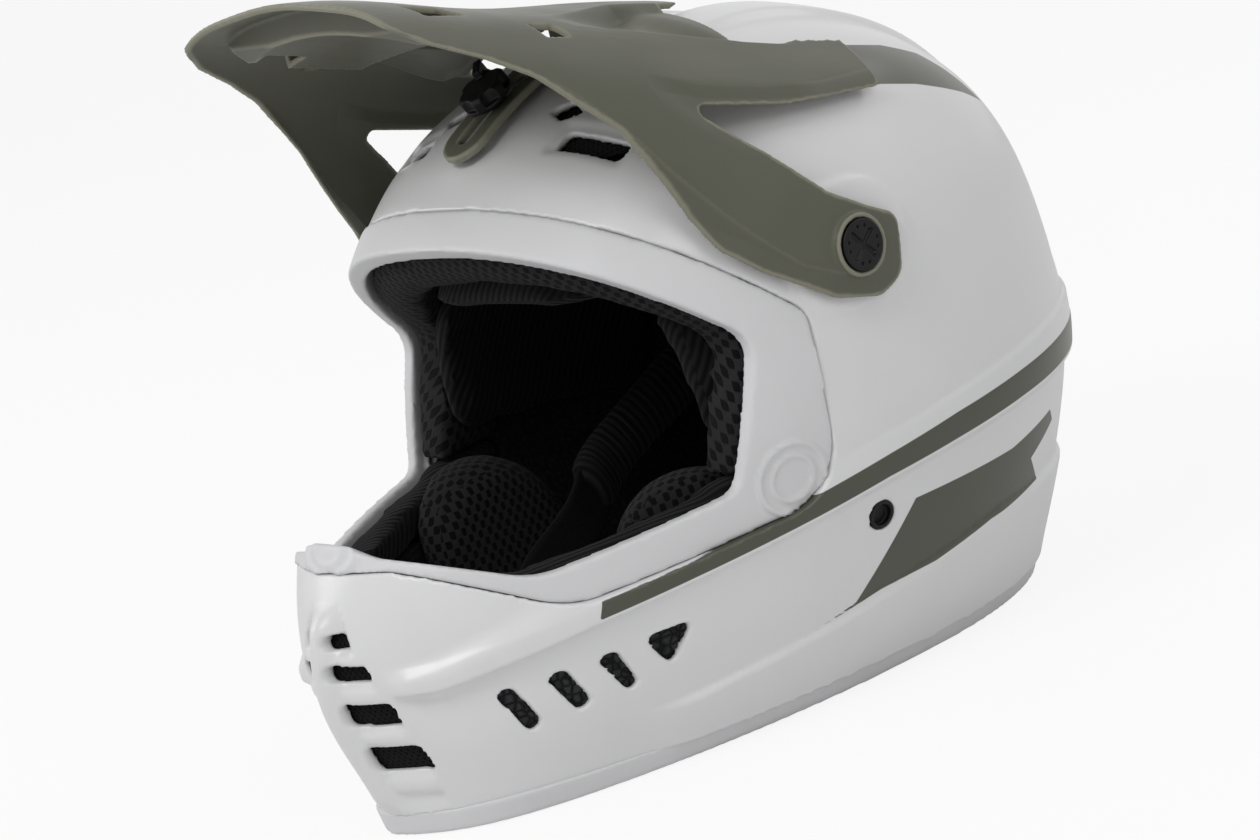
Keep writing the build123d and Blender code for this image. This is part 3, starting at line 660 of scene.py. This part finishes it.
def carve(piece, cutters, operation="DIFFERENCE"):
    joined = bmesh.new()
    for cutter in cutters:
        joined.from_mesh(cutter.data)
        bpy.data.objects.remove(cutter)
    mesh = bpy.data.meshes.new("cutter")
    joined.to_mesh(mesh)
    joined.free()
    tool = bpy.data.objects.new("cutter", mesh)
    scene.collection.objects.link(tool)
    cut = piece.modifiers.new("cut", "BOOLEAN")
    cut.operation = operation
    cut.solver = "EXACT"
    cut.object = tool
    applied(piece)
    bpy.data.objects.remove(tool)
    return piece


def mirrored(outline):
    return [(-x, y) for x, y in reversed(outline)]


shellCuts = {
    "seam": ([(-260, 340), (-208, 340), (-97, 218), (-29, 155), (-32, 87), (-134, 77), (-176, 104), (-260, 105)],
             [1, 1, 30, 12, 24, 30, 8, 1]),
    "side": [[(-159.5, 51), (-154.7, 53), (-145.4, 35.5), (-149.8, 33.5)],
             [(-144, 53), (-137.3, 53.5), (-128.6, 37.5), (-133.9, 36.6)],
             [(-126.8, 54), (-120.1, 55), (-112, 38.8), (-116.7, 38.6)],
             [(-110, 56.2), (-91.8, 57.6), (-100.3, 42.5)]],
    "chin": [(81, 5, 2.8, 12.8), (69.3, 5.8, 3, 20.6), (52.5, 9, 5, 25), (33.2, 10.5, 5.5, 26)], "chinLean": 4,
    # forehead intakes: corners on the surface, corner radius
    "brow": [([(42.8, -67.0, 230.7), (44.0, -59.6, 235.2), (71.6, -54.2, 227.9), (70.8, -61.2, 223.6)], 1.4),
             ([(27.5, -53, 241.3), (33, -46, 243.6), (43.5, -50.4, 240.0), (35.5, -55.8, 238.8)], 0.8)],
    "rear": (14, 38, 140, 150), "port": (-12, 70, 5.5), "pivot": (-6, 173, 6.0), "corner": 1.8,
}


def shellCutters():
    cuts = shellCuts
    cutters = [prism("seamCut", roundedOutline(*cuts["seam"], 14), -200, 200)]
    for outline in cuts["side"]:
        shape = roundedOutline(outline, [cuts["corner"]] * len(outline), 4)
        cutters += [prism("vent", shape, 40, 160), prism("vent", shape, -160, -40)]
    drop = math.tan(math.radians(cuts["chinLean"]))
    for height, tall, start, end in cuts["chin"]:
        low, high = height - tall / 2, height + tall / 2
        fall = (end - start) / 2 * drop
        corners = [(start, low + fall), (end, low - fall), (end, high - fall), (start, high + fall)]
        shape = roundedOutline(corners, [cuts["corner"]] * 4, 4)
        cutters += [prism("slot", shape, -225, -155, "y"), prism("slot", mirrored(shape), -225, -155, "y")]
    for corners, radius in cuts["brow"]:
        cutters += [squareCut(corners, radius, sign) for sign in (1, -1)]
    start, end, low, high = cuts["rear"]
    for sign in (1, -1):
        a, b = sorted((sign * start, sign * end))
        outlet = [(120, low), (180, low), (180, high), (120, high)]
        cutters.append(prism("outlet", roundedOutline(outlet, [0] * 4), a, b))
        y, z, radius = cuts["port"]
        cutters.append(roundBar("port", (sign * 80, y, z), (sign, 0, 0), radius, 0, 60))
        y, z, radius = cuts["pivot"]
        cutters.append(roundBar("pivot", (sign * 100, y, z), (sign, 0, 0), radius, 0, 40))
    return cutters


def closedGrid(name, outer, inner):
    # a closed body from two grids of rows, with a hub in the middle of the last row
    rows, columns = outer.shape[:2]
    count = rows * columns
    points = np.concatenate((outer.reshape(-1, 3), inner.reshape(-1, 3), [outer[-1].mean(0), inner[-1].mean(0)]))
    points[-2, 2] += 0.05
    faces = []
    for r in range(rows - 1):
        for k in range(columns):
            a, b = r * columns + k, r * columns + (k + 1) % columns
            faces.append((a, b, b + columns, a + columns))
            faces.append((a + count, a + columns + count, b + columns + count, b + count))
    for k in range(columns):
        nextOne = (k + 1) % columns
        faces.append((k, k + count, nextOne + count, nextOne))
        last = (rows - 1) * columns
        faces.append((last + k, last + nextOne, 2 * count))
        faces.append((last + count + nextOne, last + count + k, 2 * count + 1))
    return makeMesh(name, points, faces)


def snapped(piece, guide, near=0.10, far=0.45):
    # lay a remeshed skin back on its exact smooth surface, away from its rounded edges
    points = drawingOf(piece.data) * mm
    points[:, 1] += rearShift * mm
    for i, point in enumerate(points):
        spot, _, _, gap = guide.find_nearest(point)
        if spot is None or gap > far * mm:
            continue
        weight = 1 - softStep(gap / mm, near, far)
        points[i] = point + (np.array(spot) - point) * weight
    piece.data.vertices.foreach_set("co", points.ravel())
    piece.data.update()
    return piece


def smoothRims(piece, guide, rounds=7):
    # even out the rims and walls of the openings, which lie off the smooth surface
    points = placeAll(drawingOf(piece.data))
    group = piece.vertex_groups.new(name="rims")
    for i, point in enumerate(points):
        gap = guide.find_nearest(point)[3] / mm
        if gap > 0.12:
            group.add([i], float(softStep(gap, 0.12, 0.5)), "REPLACE")
    smooth = piece.modifiers.new("rims", "SMOOTH")
    smooth.vertex_group = "rims"
    smooth.factor = 0.5
    smooth.iterations = rounds
    return applied(piece)


def insideOutline(outline, a, b):
    # signed distance to a closed outline, positive inside
    p = np.stack((a, b), -1)
    corners = np.array(outline, float)
    gap = np.full(a.shape, 1e9)
    inside = np.zeros(a.shape, bool)
    for start, end in zip(corners, np.roll(corners, -1, 0)):
        edge = end - start
        t = np.clip(((p - start) @ edge) / (edge @ edge), 0, 1)
        gap = np.minimum(gap, np.linalg.norm(p - start - t[..., None] * edge, axis=-1))
        crosses = ((start[1] > b) != (end[1] > b)) & (
            a < (end[0] - start[0]) * (b - start[1]) / (end[1] - start[1] + 1e-12) + start[0])
        inside ^= crosses
    return np.where(inside, gap, -gap)


def buildShell():
    at, lines = shellRows()
    base = sampled(surface, at)
    normal = sampled(surfaceNormal, at)
    normal /= np.linalg.norm(normal, axis=2, keepdims=True)
    outer = base + normal * shellRelief(base, at, lines)[..., None]
    inner = base - normal * (shellForm["wall"] + np.maximum(-shellRelief(base, at, lines), 0))[..., None]
    shell = facing(closedGrid("shell", outer, inner))
    guide = BVHTree.FromObject(shell, bpy.context.evaluated_depsgraph_get())
    carve(shell, shellCutters())
    softened(shell, 1.15, 3)
    snapped(shell, guide)
    smoothRims(shell, guide)
    return shadeSmooth(shell)


print("shell")
shell = dress(buildShell(), shellFinish, "shell_white", "outer_shell")

# olive paint: seen from the side (y, z); the shell's vertices carry the distance to its edges in mm
paint = {
    "stripeFront": ((-128.5, 66), (-125.5, 80)),
    "lower": [(-47.8, 32.4), (-33.8, 35.3), (-12, 39.5), (14.4, 41.6), (45.4, 47.2), (81.6, 50.7), (75, 61.5),
              (96, 70.2), (93, 75.5), (60, 71), (4.2, 70.9), (-23.4, 38.6)],
    "top": [(0, 226), (32, 222.3), (43, 221.2), (62.4, 215.9), (79.5, 209.7), (93, 204.6), (112, 196), (103, 206),
            (96, 213.5), (84.8, 223.1), (65, 231.5), (43.7, 237.2), (28, 241.7), (0, 249)],
}


def paintShell():
    points = drawingOf(shell.data)
    x, y, z = np.abs(points[:, 0]), points[:, 1], points[:, 2]
    band = np.minimum(z - lineHeight("crest", y) - 0.8, lineHeight("stripeTop", y) - z)
    start, end = (Vector(point) for point in paint["stripeFront"])
    edge = (end - start).normalized()
    stripe = np.minimum(band, (y - start.x) * edge.y - (z - start.y) * edge.x)
    field = np.maximum(stripe, insideOutline(paint["lower"], y, z))
    field = np.maximum(field, insideOutline(paint["top"], y, z))
    field = np.where((x > 20) | (y > 100), field, -5)
    attribute = shell.data.attributes.new("paintEdge", "FLOAT", "POINT")
    attribute.data.foreach_set("value", field.astype(np.float32))


paintShell()


def normalsOf(mesh):
    normals = np.empty(len(mesh.vertices) * 3)
    mesh.vertices.foreach_get("normal", normals)
    return normals.reshape(-1, 3)


def paintEdgeHighlights(piece, low, high, creases=0):
    # painted highlight: how sharply each vertex turns outward, from 0 to 1, for the finish to lighten edges and the
    # creases given
    mesh = piece.data
    points, normals = drawingOf(mesh), normalsOf(mesh)
    ends = np.empty(len(mesh.edges) * 2, np.int64)
    mesh.edges.foreach_get("vertices", ends)
    a, b = ends.reshape(-1, 2).T
    count = np.maximum(np.bincount(ends, minlength=len(points)), 1)

    def around(values):
        total = np.stack([np.bincount(a, values[b, k], len(points)) + np.bincount(b, values[a, k], len(points))
                          for k in range(values.shape[1])], 1)
        return total / count[:, None]

    turn = ((points - around(points)) * normals).sum(1, keepdims=True)
    for _ in range(2):
        turn = around(turn)
    attribute = mesh.attributes.new("edgeHighlight", "FLOAT", "POINT")
    # painted highlight on turned edges, and along the creases passed in
    paintedHighlight = np.maximum(softStep(turn[:, 0], low, high), creases)
    attribute.data.foreach_set("value", paintedHighlight.astype(np.float32))


# frame round the eyeport, and the edge moulding of the rim
trimForm = {"voxel": 1.1, "rounds": 5, "badge": (-50, 98), "badgeSize": (14.5, 14),
            "chinBadge": 109, "chinSize": (17, 6), "chinLift": (5.0, 9, 25)}


def buildTrims():
    frameRing = softened(copyOf("eyeportFrame", "eyeport_trim"), trimForm["voxel"], trimForm["rounds"])
    mesh = frameRing.data
    points, normals = drawingOf(mesh), normalsOf(mesh)
    x, y, z = points.T
    # plain oval badges pressed into each cheek and into the front of the chin
    (badgeY, badgeZ), (wide, tall) = trimForm["badge"], trimForm["badgeSize"]
    away = np.hypot((y - badgeY) / wide, (z - badgeZ) / tall)
    cheek = softStep(np.abs(x), 92, 98) * softStep(np.abs(normals[:, 0]), 0.4, 0.7)
    rise = (1.1 * ridge(away, 0.86, 1.0, 0.04) + 1.0 * ridge(away, 0.52, 0.66, 0.04)) * cheek
    wide, tall = trimForm["chinSize"]
    away = np.hypot(x / wide, (z - trimForm["chinBadge"]) / tall)
    chin = softStep(-y, 150, 165) * softStep(-normals[:, 1], 0.1, 0.5)
    rise += (0.7 * ridge(away, 0.8, 1.0, 0.06) + 0.5 * ridge(away, 0.4, 0.56, 0.05)) * chin
    points += normals * rise[:, None]
    # the middle of the chin's edge stands up in a low arch
    lift, near, far = trimForm["chinLift"]
    points[:, 2] += lift * (1 - softStep(np.abs(x), near, far)) * softStep(z, 103, 114) * softStep(-y, 130, 150)
    putBack(mesh, points)
    dress(shadeSmooth(frameRing), trimFinish, "trim_grey", "eyeport_trim")
    rim = softened(copyOf("rimMoulding", "bottom_trim"), trimForm["voxel"], 4)
    dress(shadeSmooth(rim), trimFinish, "trim_grey", "bottom_trim")


buildTrims()
print("trims")


# the peak, with its creases drawn from the side: y, z
peakForm = {
    # the edge pair and the crease value below set the painted highlight on the peak's turned edges and creases
    "voxel": 0.75, "rounds": 5, "edge": (0.012, 0.05), "creaseHighlight": 0.22,
    # channels before the rear opening: x, y
    "channel": [(35, 30), (34, -20), (62, -72), (73.5, -66), (90, -6), (96, 30)], "channelDeep": 7.5,
    "armCrease": [(-106, 273), (-97, 262), (-88, 250), (-78.9, 237), (-68.6, 219.5), (-54.9, 200.5), (-43, 186.5),
                  (-30.8, 173.5), (-17.6, 166.2), (-4, 163.5)],
    "armLean": 0.62, "armMost": ((165, 0.8), (185, 1.6), (205, 5.0)),
    "wingCrease": [(-62, 254.5), (-44.7, 246.5), (-17, 237.5), (10, 231.5), (45, 228.5)], "wingLean": 0.4,
}


def below(line, y, z):
    # distance under a crease line, seen from the side
    ys, zs = (np.array(part, float) for part in zip(*line))
    gap = np.interp(y, ys, zs) - z
    slope = np.gradient(zs, ys)
    gap = gap / np.hypot(1, np.interp(y, ys, slope))
    return np.where((y > ys[0]) & (y < ys[-1]), np.maximum(gap, 0), 0)


def buildPeak():
    form = peakForm
    peak = softened(copyOf("peak", "visor"), form["voxel"], form["rounds"])
    mesh = peak.data
    points = drawingOf(mesh)
    x, y, z = points.T
    outside = softStep(np.abs(x), 78, 92)
    arm = np.minimum(form["armLean"] * below(form["armCrease"], y, z), np.interp(z, *zip(*form["armMost"])))
    arm = arm * softStep(y, -104, -88) * (1 - softStep(y, -16, -4))
    wing = np.minimum(form["wingLean"] * below(form["wingCrease"], y, z), 2.2)
    wing = wing * softStep(z, 214, 224) * softStep(y, -66, -46) * softStep(z + 0.94 * y, 178, 192)
    wing = wing * (1 - 0.9 * softStep(y, -8, 8))     # clear of the shell when the peak tilts up
    channel = form["channelDeep"] * softStep(insideOutline(form["channel"], np.abs(x), y), -0.5, 4.5)
    channel = channel * softStep(y, -74, -24) * (z > 236)
    channel = channel * (1 - 0.55 * softStep(y, -24, -8)) * (1 - softStep(y, 6, 18))
    points[:, 0] -= np.sign(x) * np.maximum(arm, wing) * outside
    points[:, 2] -= channel
    # painted highlight along the arm and wing creases, on top of the one over turned edges
    creaseHighlightMask = sum(np.exp(-((gap - 0.2) / 0.8) ** 2) * (gap > 0) * part for gap, part in (
        (below(form["armCrease"], y, z), softStep(y, -104, -88)),
        (below(form["wingCrease"], y, z), softStep(y, -56, -40) * (z > 214))))
    paintEdgeHighlights(peak, *form["edge"], form["creaseHighlight"] * np.clip(creaseHighlightMask, 0, 1) * outside)
    putBack(mesh, points)
    return dress(shadeSmooth(peak), visorFinish, "visor_olive", "visor", body="visor")


peak = buildPeak()
print("peak")


# screws, buckle and the other small hard pieces
smallPieces = [
    # name, nodes, voxel, rounds, finish, slot, body
    ("thumbScrew", ["centre_screw"], 0.32, 3, blackFinish, "black_plastic", "centre_screw"),
    ("clampPlate", ["clamp_washer"], 0.3, 2, blackFinish, "black_plastic", "clamp_washer"),
    ("armScrewLeft", ["side_screw_left"], 0.32, 2, blackFinish, "black_plastic", "side_screw_left"),
    ("armScrewRight", ["side_screw_right"], 0.32, 2, blackFinish, "black_plastic", "side_screw_right"),
    ("roundPlugs", ["side_port_plugs"], 0.3, 2, blackFinish, "black_plastic", "helmet"),
    ("buckleCase", ["buckle_housing"], 0.4, 3, blackFinish, "black_plastic", "helmet"),
    ("buckleLadder", ["ladder"], 0.3, 1, blackFinish, "black_plastic", "helmet"),
    ("buckleLever", ["release_lever"], 0.32, 2, blackFinish, "black_plastic", "release_lever"),
]


screwMarks = {"middle": (-6, 173), "face": 129.0, "cross": (7.4, 0.7), "turn": 38, "ring": 7.0, "dot": 0.7}


def screwCutters(side):
    marks = screwMarks
    (y, z), (reach, half), face = marks["middle"], marks["cross"], marks["face"]
    low, high = sorted((side * (face - 0.9), side * (face + 3)))
    cutters = []
    c, s = math.cos(math.radians(marks["turn"])), math.sin(math.radians(marks["turn"]))
    arm = [(half, half), (reach, half), (reach, -half)]
    cross = []
    for _ in range(4):
        cross += [(y + a * c - b * s, z + a * s + b * c) for a, b in arm]
        arm = [(b, -a) for a, b in arm]
    cutters.append(prism("cross", cross, low, high))
    for k in range(8):     # two dots between each pair of arms
        turn = math.radians(marks["turn"] + 90 * (k // 2) + (31, 59)[k % 2])
        middle = (low, y + marks["ring"] * math.cos(turn), z + marks["ring"] * math.sin(turn))
        cutters.append(roundBar("dot", middle, (1, 0, 0), marks["dot"], 0, high - low, 12))
    return cutters


def buildSmall():
    for name, sources, voxel, rounds, finish, slotName, body in smallPieces:
        piece = copyOf(name, *sources)
        if name.startswith("armScrew"):
            carve(piece, screwCutters(1 if name.endswith("Left") else -1))
        softened(piece, voxel, rounds)
        dress(shadeSmooth(piece), finish, slotName, *sources, body=body)


buildSmall()
carried = {"crown_foam": beadFinish, "chin_foam": beadFinish, "centre_insert": brassFinish,
           "side_insert_left": brassFinish, "side_insert_right": brassFinish, "snap_studs": steelFinish,
           "strap_anchors": steelFinish, "lever_pin": steelFinish}
for name, finish in carried.items():
    nodes[name].data.materials.clear()
    nodes[name].data.materials.append(finish)
print("hardware")


# linings and pads: each is blown up a little from its own solid by a cloth simulation
pads = {
    # piece: node, voxel, how far it may swell, lay of the cloth, cloth, slot
    "browPad": ("brow_pad", 4.0, 1.6, "round", "spacer", "spacer_mesh"),
    "chinLining": ("chin_liner", 4.0, 1.2, "box", "knit", "knit_black"),
    "crownPad": ("crown_pad", 5.0, 2.0, "box", "knit", "knit_black"),
    "sidePadLeft": ("side_pad_left", 4.0, 2.0, "box", "knit", "knit_black"),
    "sidePadRight": ("side_pad_right", 4.0, 2.0, "box", "knit", "knit_black"),
    "rearPad": ("rear_pad", 4.0, 2.0, "back", "knit", "knit_black"),
    "cheekPadLeft": ("cheek_pad_left", 4.0, 2.4, "box", "spacer", "spacer_mesh"),
    "cheekPadRight": ("cheek_pad_right", 4.0, 2.4, "box", "spacer", "spacer_mesh"),
    "neckRoll": ("neck_roll", 4.0, 2.0, "box", "knit", "knit_black"),
}
swell = {"pressure": 4.0, "frames": 20, "inset": 0.7}
slope = {"angle": 23, "origin": (0, 62, 108)}      # the plane that the chin strap lies in


def layCloth(piece, lay):
    # UV in metres, by the direction that suits the piece
    mesh = piece.data
    corners = np.empty(len(mesh.loops), np.int64)
    mesh.loops.foreach_get("vertex_index", corners)
    points = drawingOf(mesh)[corners]
    x, y, z = points.T
    if lay == "round":
        turn = np.arctan2(x, 20 - y)
        u, v = turn * 100, z + 0.35 * np.hypot(x, y - 20)
    elif lay == "back":
        u, v = x, z
    else:
        counts = np.array([len(p.vertices) for p in mesh.polygons])
        faceNormal = np.array([p.normal for p in mesh.polygons])
        n = np.abs(np.repeat(faceNormal, counts, axis=0))
        sideways, upright = (n[:, 0] >= n[:, 1]) & (n[:, 0] >= n[:, 2]), n[:, 2] > np.maximum(n[:, 0], n[:, 1])
        u = np.where(sideways, y, x)
        v = np.where(upright, y, z)
    uv = mesh.uv_layers.new(name="lay")
    uv.data.foreach_set("uv", (np.stack((u, v), 1) * mm).ravel())


def startPad(name, plan):
    node, voxel = plan[:2]
    pad = softened(copyOf(name, node), voxel, 4)
    points = drawingOf(pad.data)
    normals = np.empty(len(points) * 3)
    pad.data.vertices.foreach_get("normal", normals)
    putBack(pad.data, points - normals.reshape(-1, 3) * swell["inset"])
    return pad, drawingOf(pad.data)


def swellPads(started):
    for pad, _ in started.values():
        cloth = pad.modifiers.new("cloth", "CLOTH").settings
        cloth.use_pressure = True
        cloth.uniform_pressure_force = swell["pressure"]
        cloth.effector_weights.gravity = 0
        cloth.quality = 4
        cloth.mass = 0.3
        cloth.tension_stiffness = cloth.compression_stiffness = 25
    for frameNumber in range(1, swell["frames"] + 1):
        scene.frame_set(frameNumber)
    for name, (pad, before) in started.items():
        applied(pad)
        move = drawingOf(pad.data) - before
        size = np.linalg.norm(move, axis=1, keepdims=True)
        most = pads[name][2]
        putBack(pad.data, before + move * np.minimum(1, most / np.maximum(size, 1e-9)))
    scene.frame_set(1)


def finishPad(name, pad):
    node, _, _, lay, cloth, slotName = pads[name]
    finer = pad.modifiers.new("finer", "SUBSURF")
    finer.levels = finer.render_levels = 1
    applied(pad)
    layCloth(pad, lay)
    dress(shadeSmooth(pad), cloths[cloth], slotName, node)


started = {name: startPad(name, plan) for name, plan in pads.items()}
swellPads(started)
for name, (pad, _) in started.items():
    finishPad(name, pad)
print("pads")


# chin strap webbing, and the padded sleeves round it
webbing = {"route": [(83, 20), (74, 0), (71, -40), (66, -76), (50, -104), (45, -134), (30, -160)],
           "wide": 22, "thick": 1.9, "step": 1.5, "ends": {"Left": 17, "Right": -30}}
sleeve = {"from": 14, "to": 112, "half": (6.8, 12.2), "round": 9, "pitch": 2.1, "rib": 0.22,
          "step": 0.35, "sides": 56}


def strapPath(endX, step):
    # the route in the strap's plane, on a smooth curve and then straight to the buckle
    knots = np.array([(x, along, 0.0) for x, along in webbing["route"]])
    chord = np.linalg.norm(np.diff(knots, axis=0), axis=1)
    t = np.concatenate(([0], np.cumsum(chord)))
    curve = throughKnots(t, knots, np.arange(0, t[-1], step))
    lead = np.array([(x, knots[-1][1], 0.0) for x in np.arange(knots[-1][0], endX, -step)])
    return np.concatenate((curve, lead))


def pathSides(path):
    # direction across the strap's face at each place, and the length so far
    ahead = np.gradient(path, axis=0)
    ahead /= np.linalg.norm(ahead, axis=1, keepdims=True)
    length = np.concatenate(([0], np.cumsum(np.linalg.norm(np.diff(path, axis=0), axis=1))))
    return np.stack((-ahead[:, 1], ahead[:, 0], 0 * ahead[:, 0]), 1), length


def alongPath(name, path, sides, sections, length, mirror):
    # a closed body from one section (out of the face, along its width) at each place of the path
    angle = math.radians(slope["angle"])
    points = []
    for spot, out, section in zip(path, sides, sections):
        for t, w in section:
            x, along, across = spot + out * t + (0, 0, w)
            y = slope["origin"][1] + along * math.cos(angle) - across * math.sin(angle)
            z = slope["origin"][2] + along * math.sin(angle) + across * math.cos(angle)
            points.append((x * mirror, y, z))
    count = len(sections[0])
    faces = [(r * count + k, r * count + (k + 1) % count, (r + 1) * count + (k + 1) % count, (r + 1) * count + k)
             for r in range(len(path) - 1) for k in range(count)]
    faces += [tuple(range(count)), tuple(range(len(points) - count, len(points)))[::-1]]
    piece = facing(makeMesh(name, points, faces))
    uv = piece.data.uv_layers.new(name="lay")
    for loop in piece.data.loops:
        row, k = divmod(loop.vertex_index, count)
        uv.data[loop.index].uv = (length[row] * mm, (sections[row][k][1] + 0.4 * sections[row][k][0]) * mm)
    return piece


def makeStrap(side, mirror):
    path = strapPath(webbing["ends"][side], webbing["step"])
    sides, length = pathSides(path)
    half, thick = webbing["wide"] / 2, webbing["thick"] / 2
    widths = np.linspace(-half + 0.5, half - 0.5, 9)
    section = [(thick, w) for w in widths] + [(0, half)] + [(-thick, w) for w in widths[::-1]] + [(0, -half)]
    strap = alongPath("webbing" + side, path, sides, [section] * len(path), length, mirror)
    dress(strap, cloths["webbing"], "webbing_black", "strap_" + side.lower())


def makeSleeve(side, mirror):
    # a soft roll with fine ribs round it, drawn in at both ends
    path = strapPath(0, sleeve["step"])
    sides, length = pathSides(path)
    inside = (length > sleeve["from"]) & (length < sleeve["to"])
    path, sides, length = path[inside], sides[inside], length[inside]
    toEnd = np.minimum(length - sleeve["from"], sleeve["to"] - length) / sleeve["round"]
    swellUp = np.sqrt(1 - np.clip(1 - toEnd, 0, 0.985) ** 2)
    ribs = sleeve["rib"] * np.cos(length / sleeve["pitch"] * math.tau) * np.clip(toEnd, 0, 1)
    thick, tall = sleeve["half"]
    turns = np.arange(sleeve["sides"]) * math.tau / sleeve["sides"]
    sections = []
    for size, rib, place in zip(swellUp, ribs, length):
        slack = 1 + 0.03 * np.sin(place / 9.0 + 3 * np.sin(turns))
        sections.append([((thick * size * k + rib) * math.cos(a), (tall * (0.25 + 0.75 * size) * k + rib) * math.sin(a))
                         for a, k in zip(turns, slack)])
    piece = alongPath("strapSleeve" + side, path, sides, sections, length, mirror)
    dress(piece, cloths["ribbedRoll"], "knit_black", "strap_sleeve_" + side.lower())


for side, mirror in (("Left", 1), ("Right", -1)):
    makeStrap(side, mirror)
    makeSleeve(side, mirror)
print("straps")


# sheets and blocks behind the vents
ventPieces = [
    ("chinMesh", "chin_vent_mesh", 0.5, 1, cloths["ventMesh"], "mesh_black", "box"),
    ("browMesh", "brow_vent_mesh", 0.5, 1, cloths["ventMesh"], "mesh_black", "box"),
    ("rearMesh", "rear_vent_mesh", 0.5, 1, cloths["ventMesh"], "mesh_black", "box"),
]


def buildVents():
    for name, node, voxel, rounds, finish, slotName, lay in ventPieces:
        piece = softened(copyOf(name, node), voxel, rounds)
        layCloth(piece, lay)
        dress(shadeSmooth(piece), finish, slotName, node)


buildVents()
nodes["side_vent_inserts"].data.materials.clear()
nodes["side_vent_inserts"].data.materials.append(bubbleFinish)
print("vents")
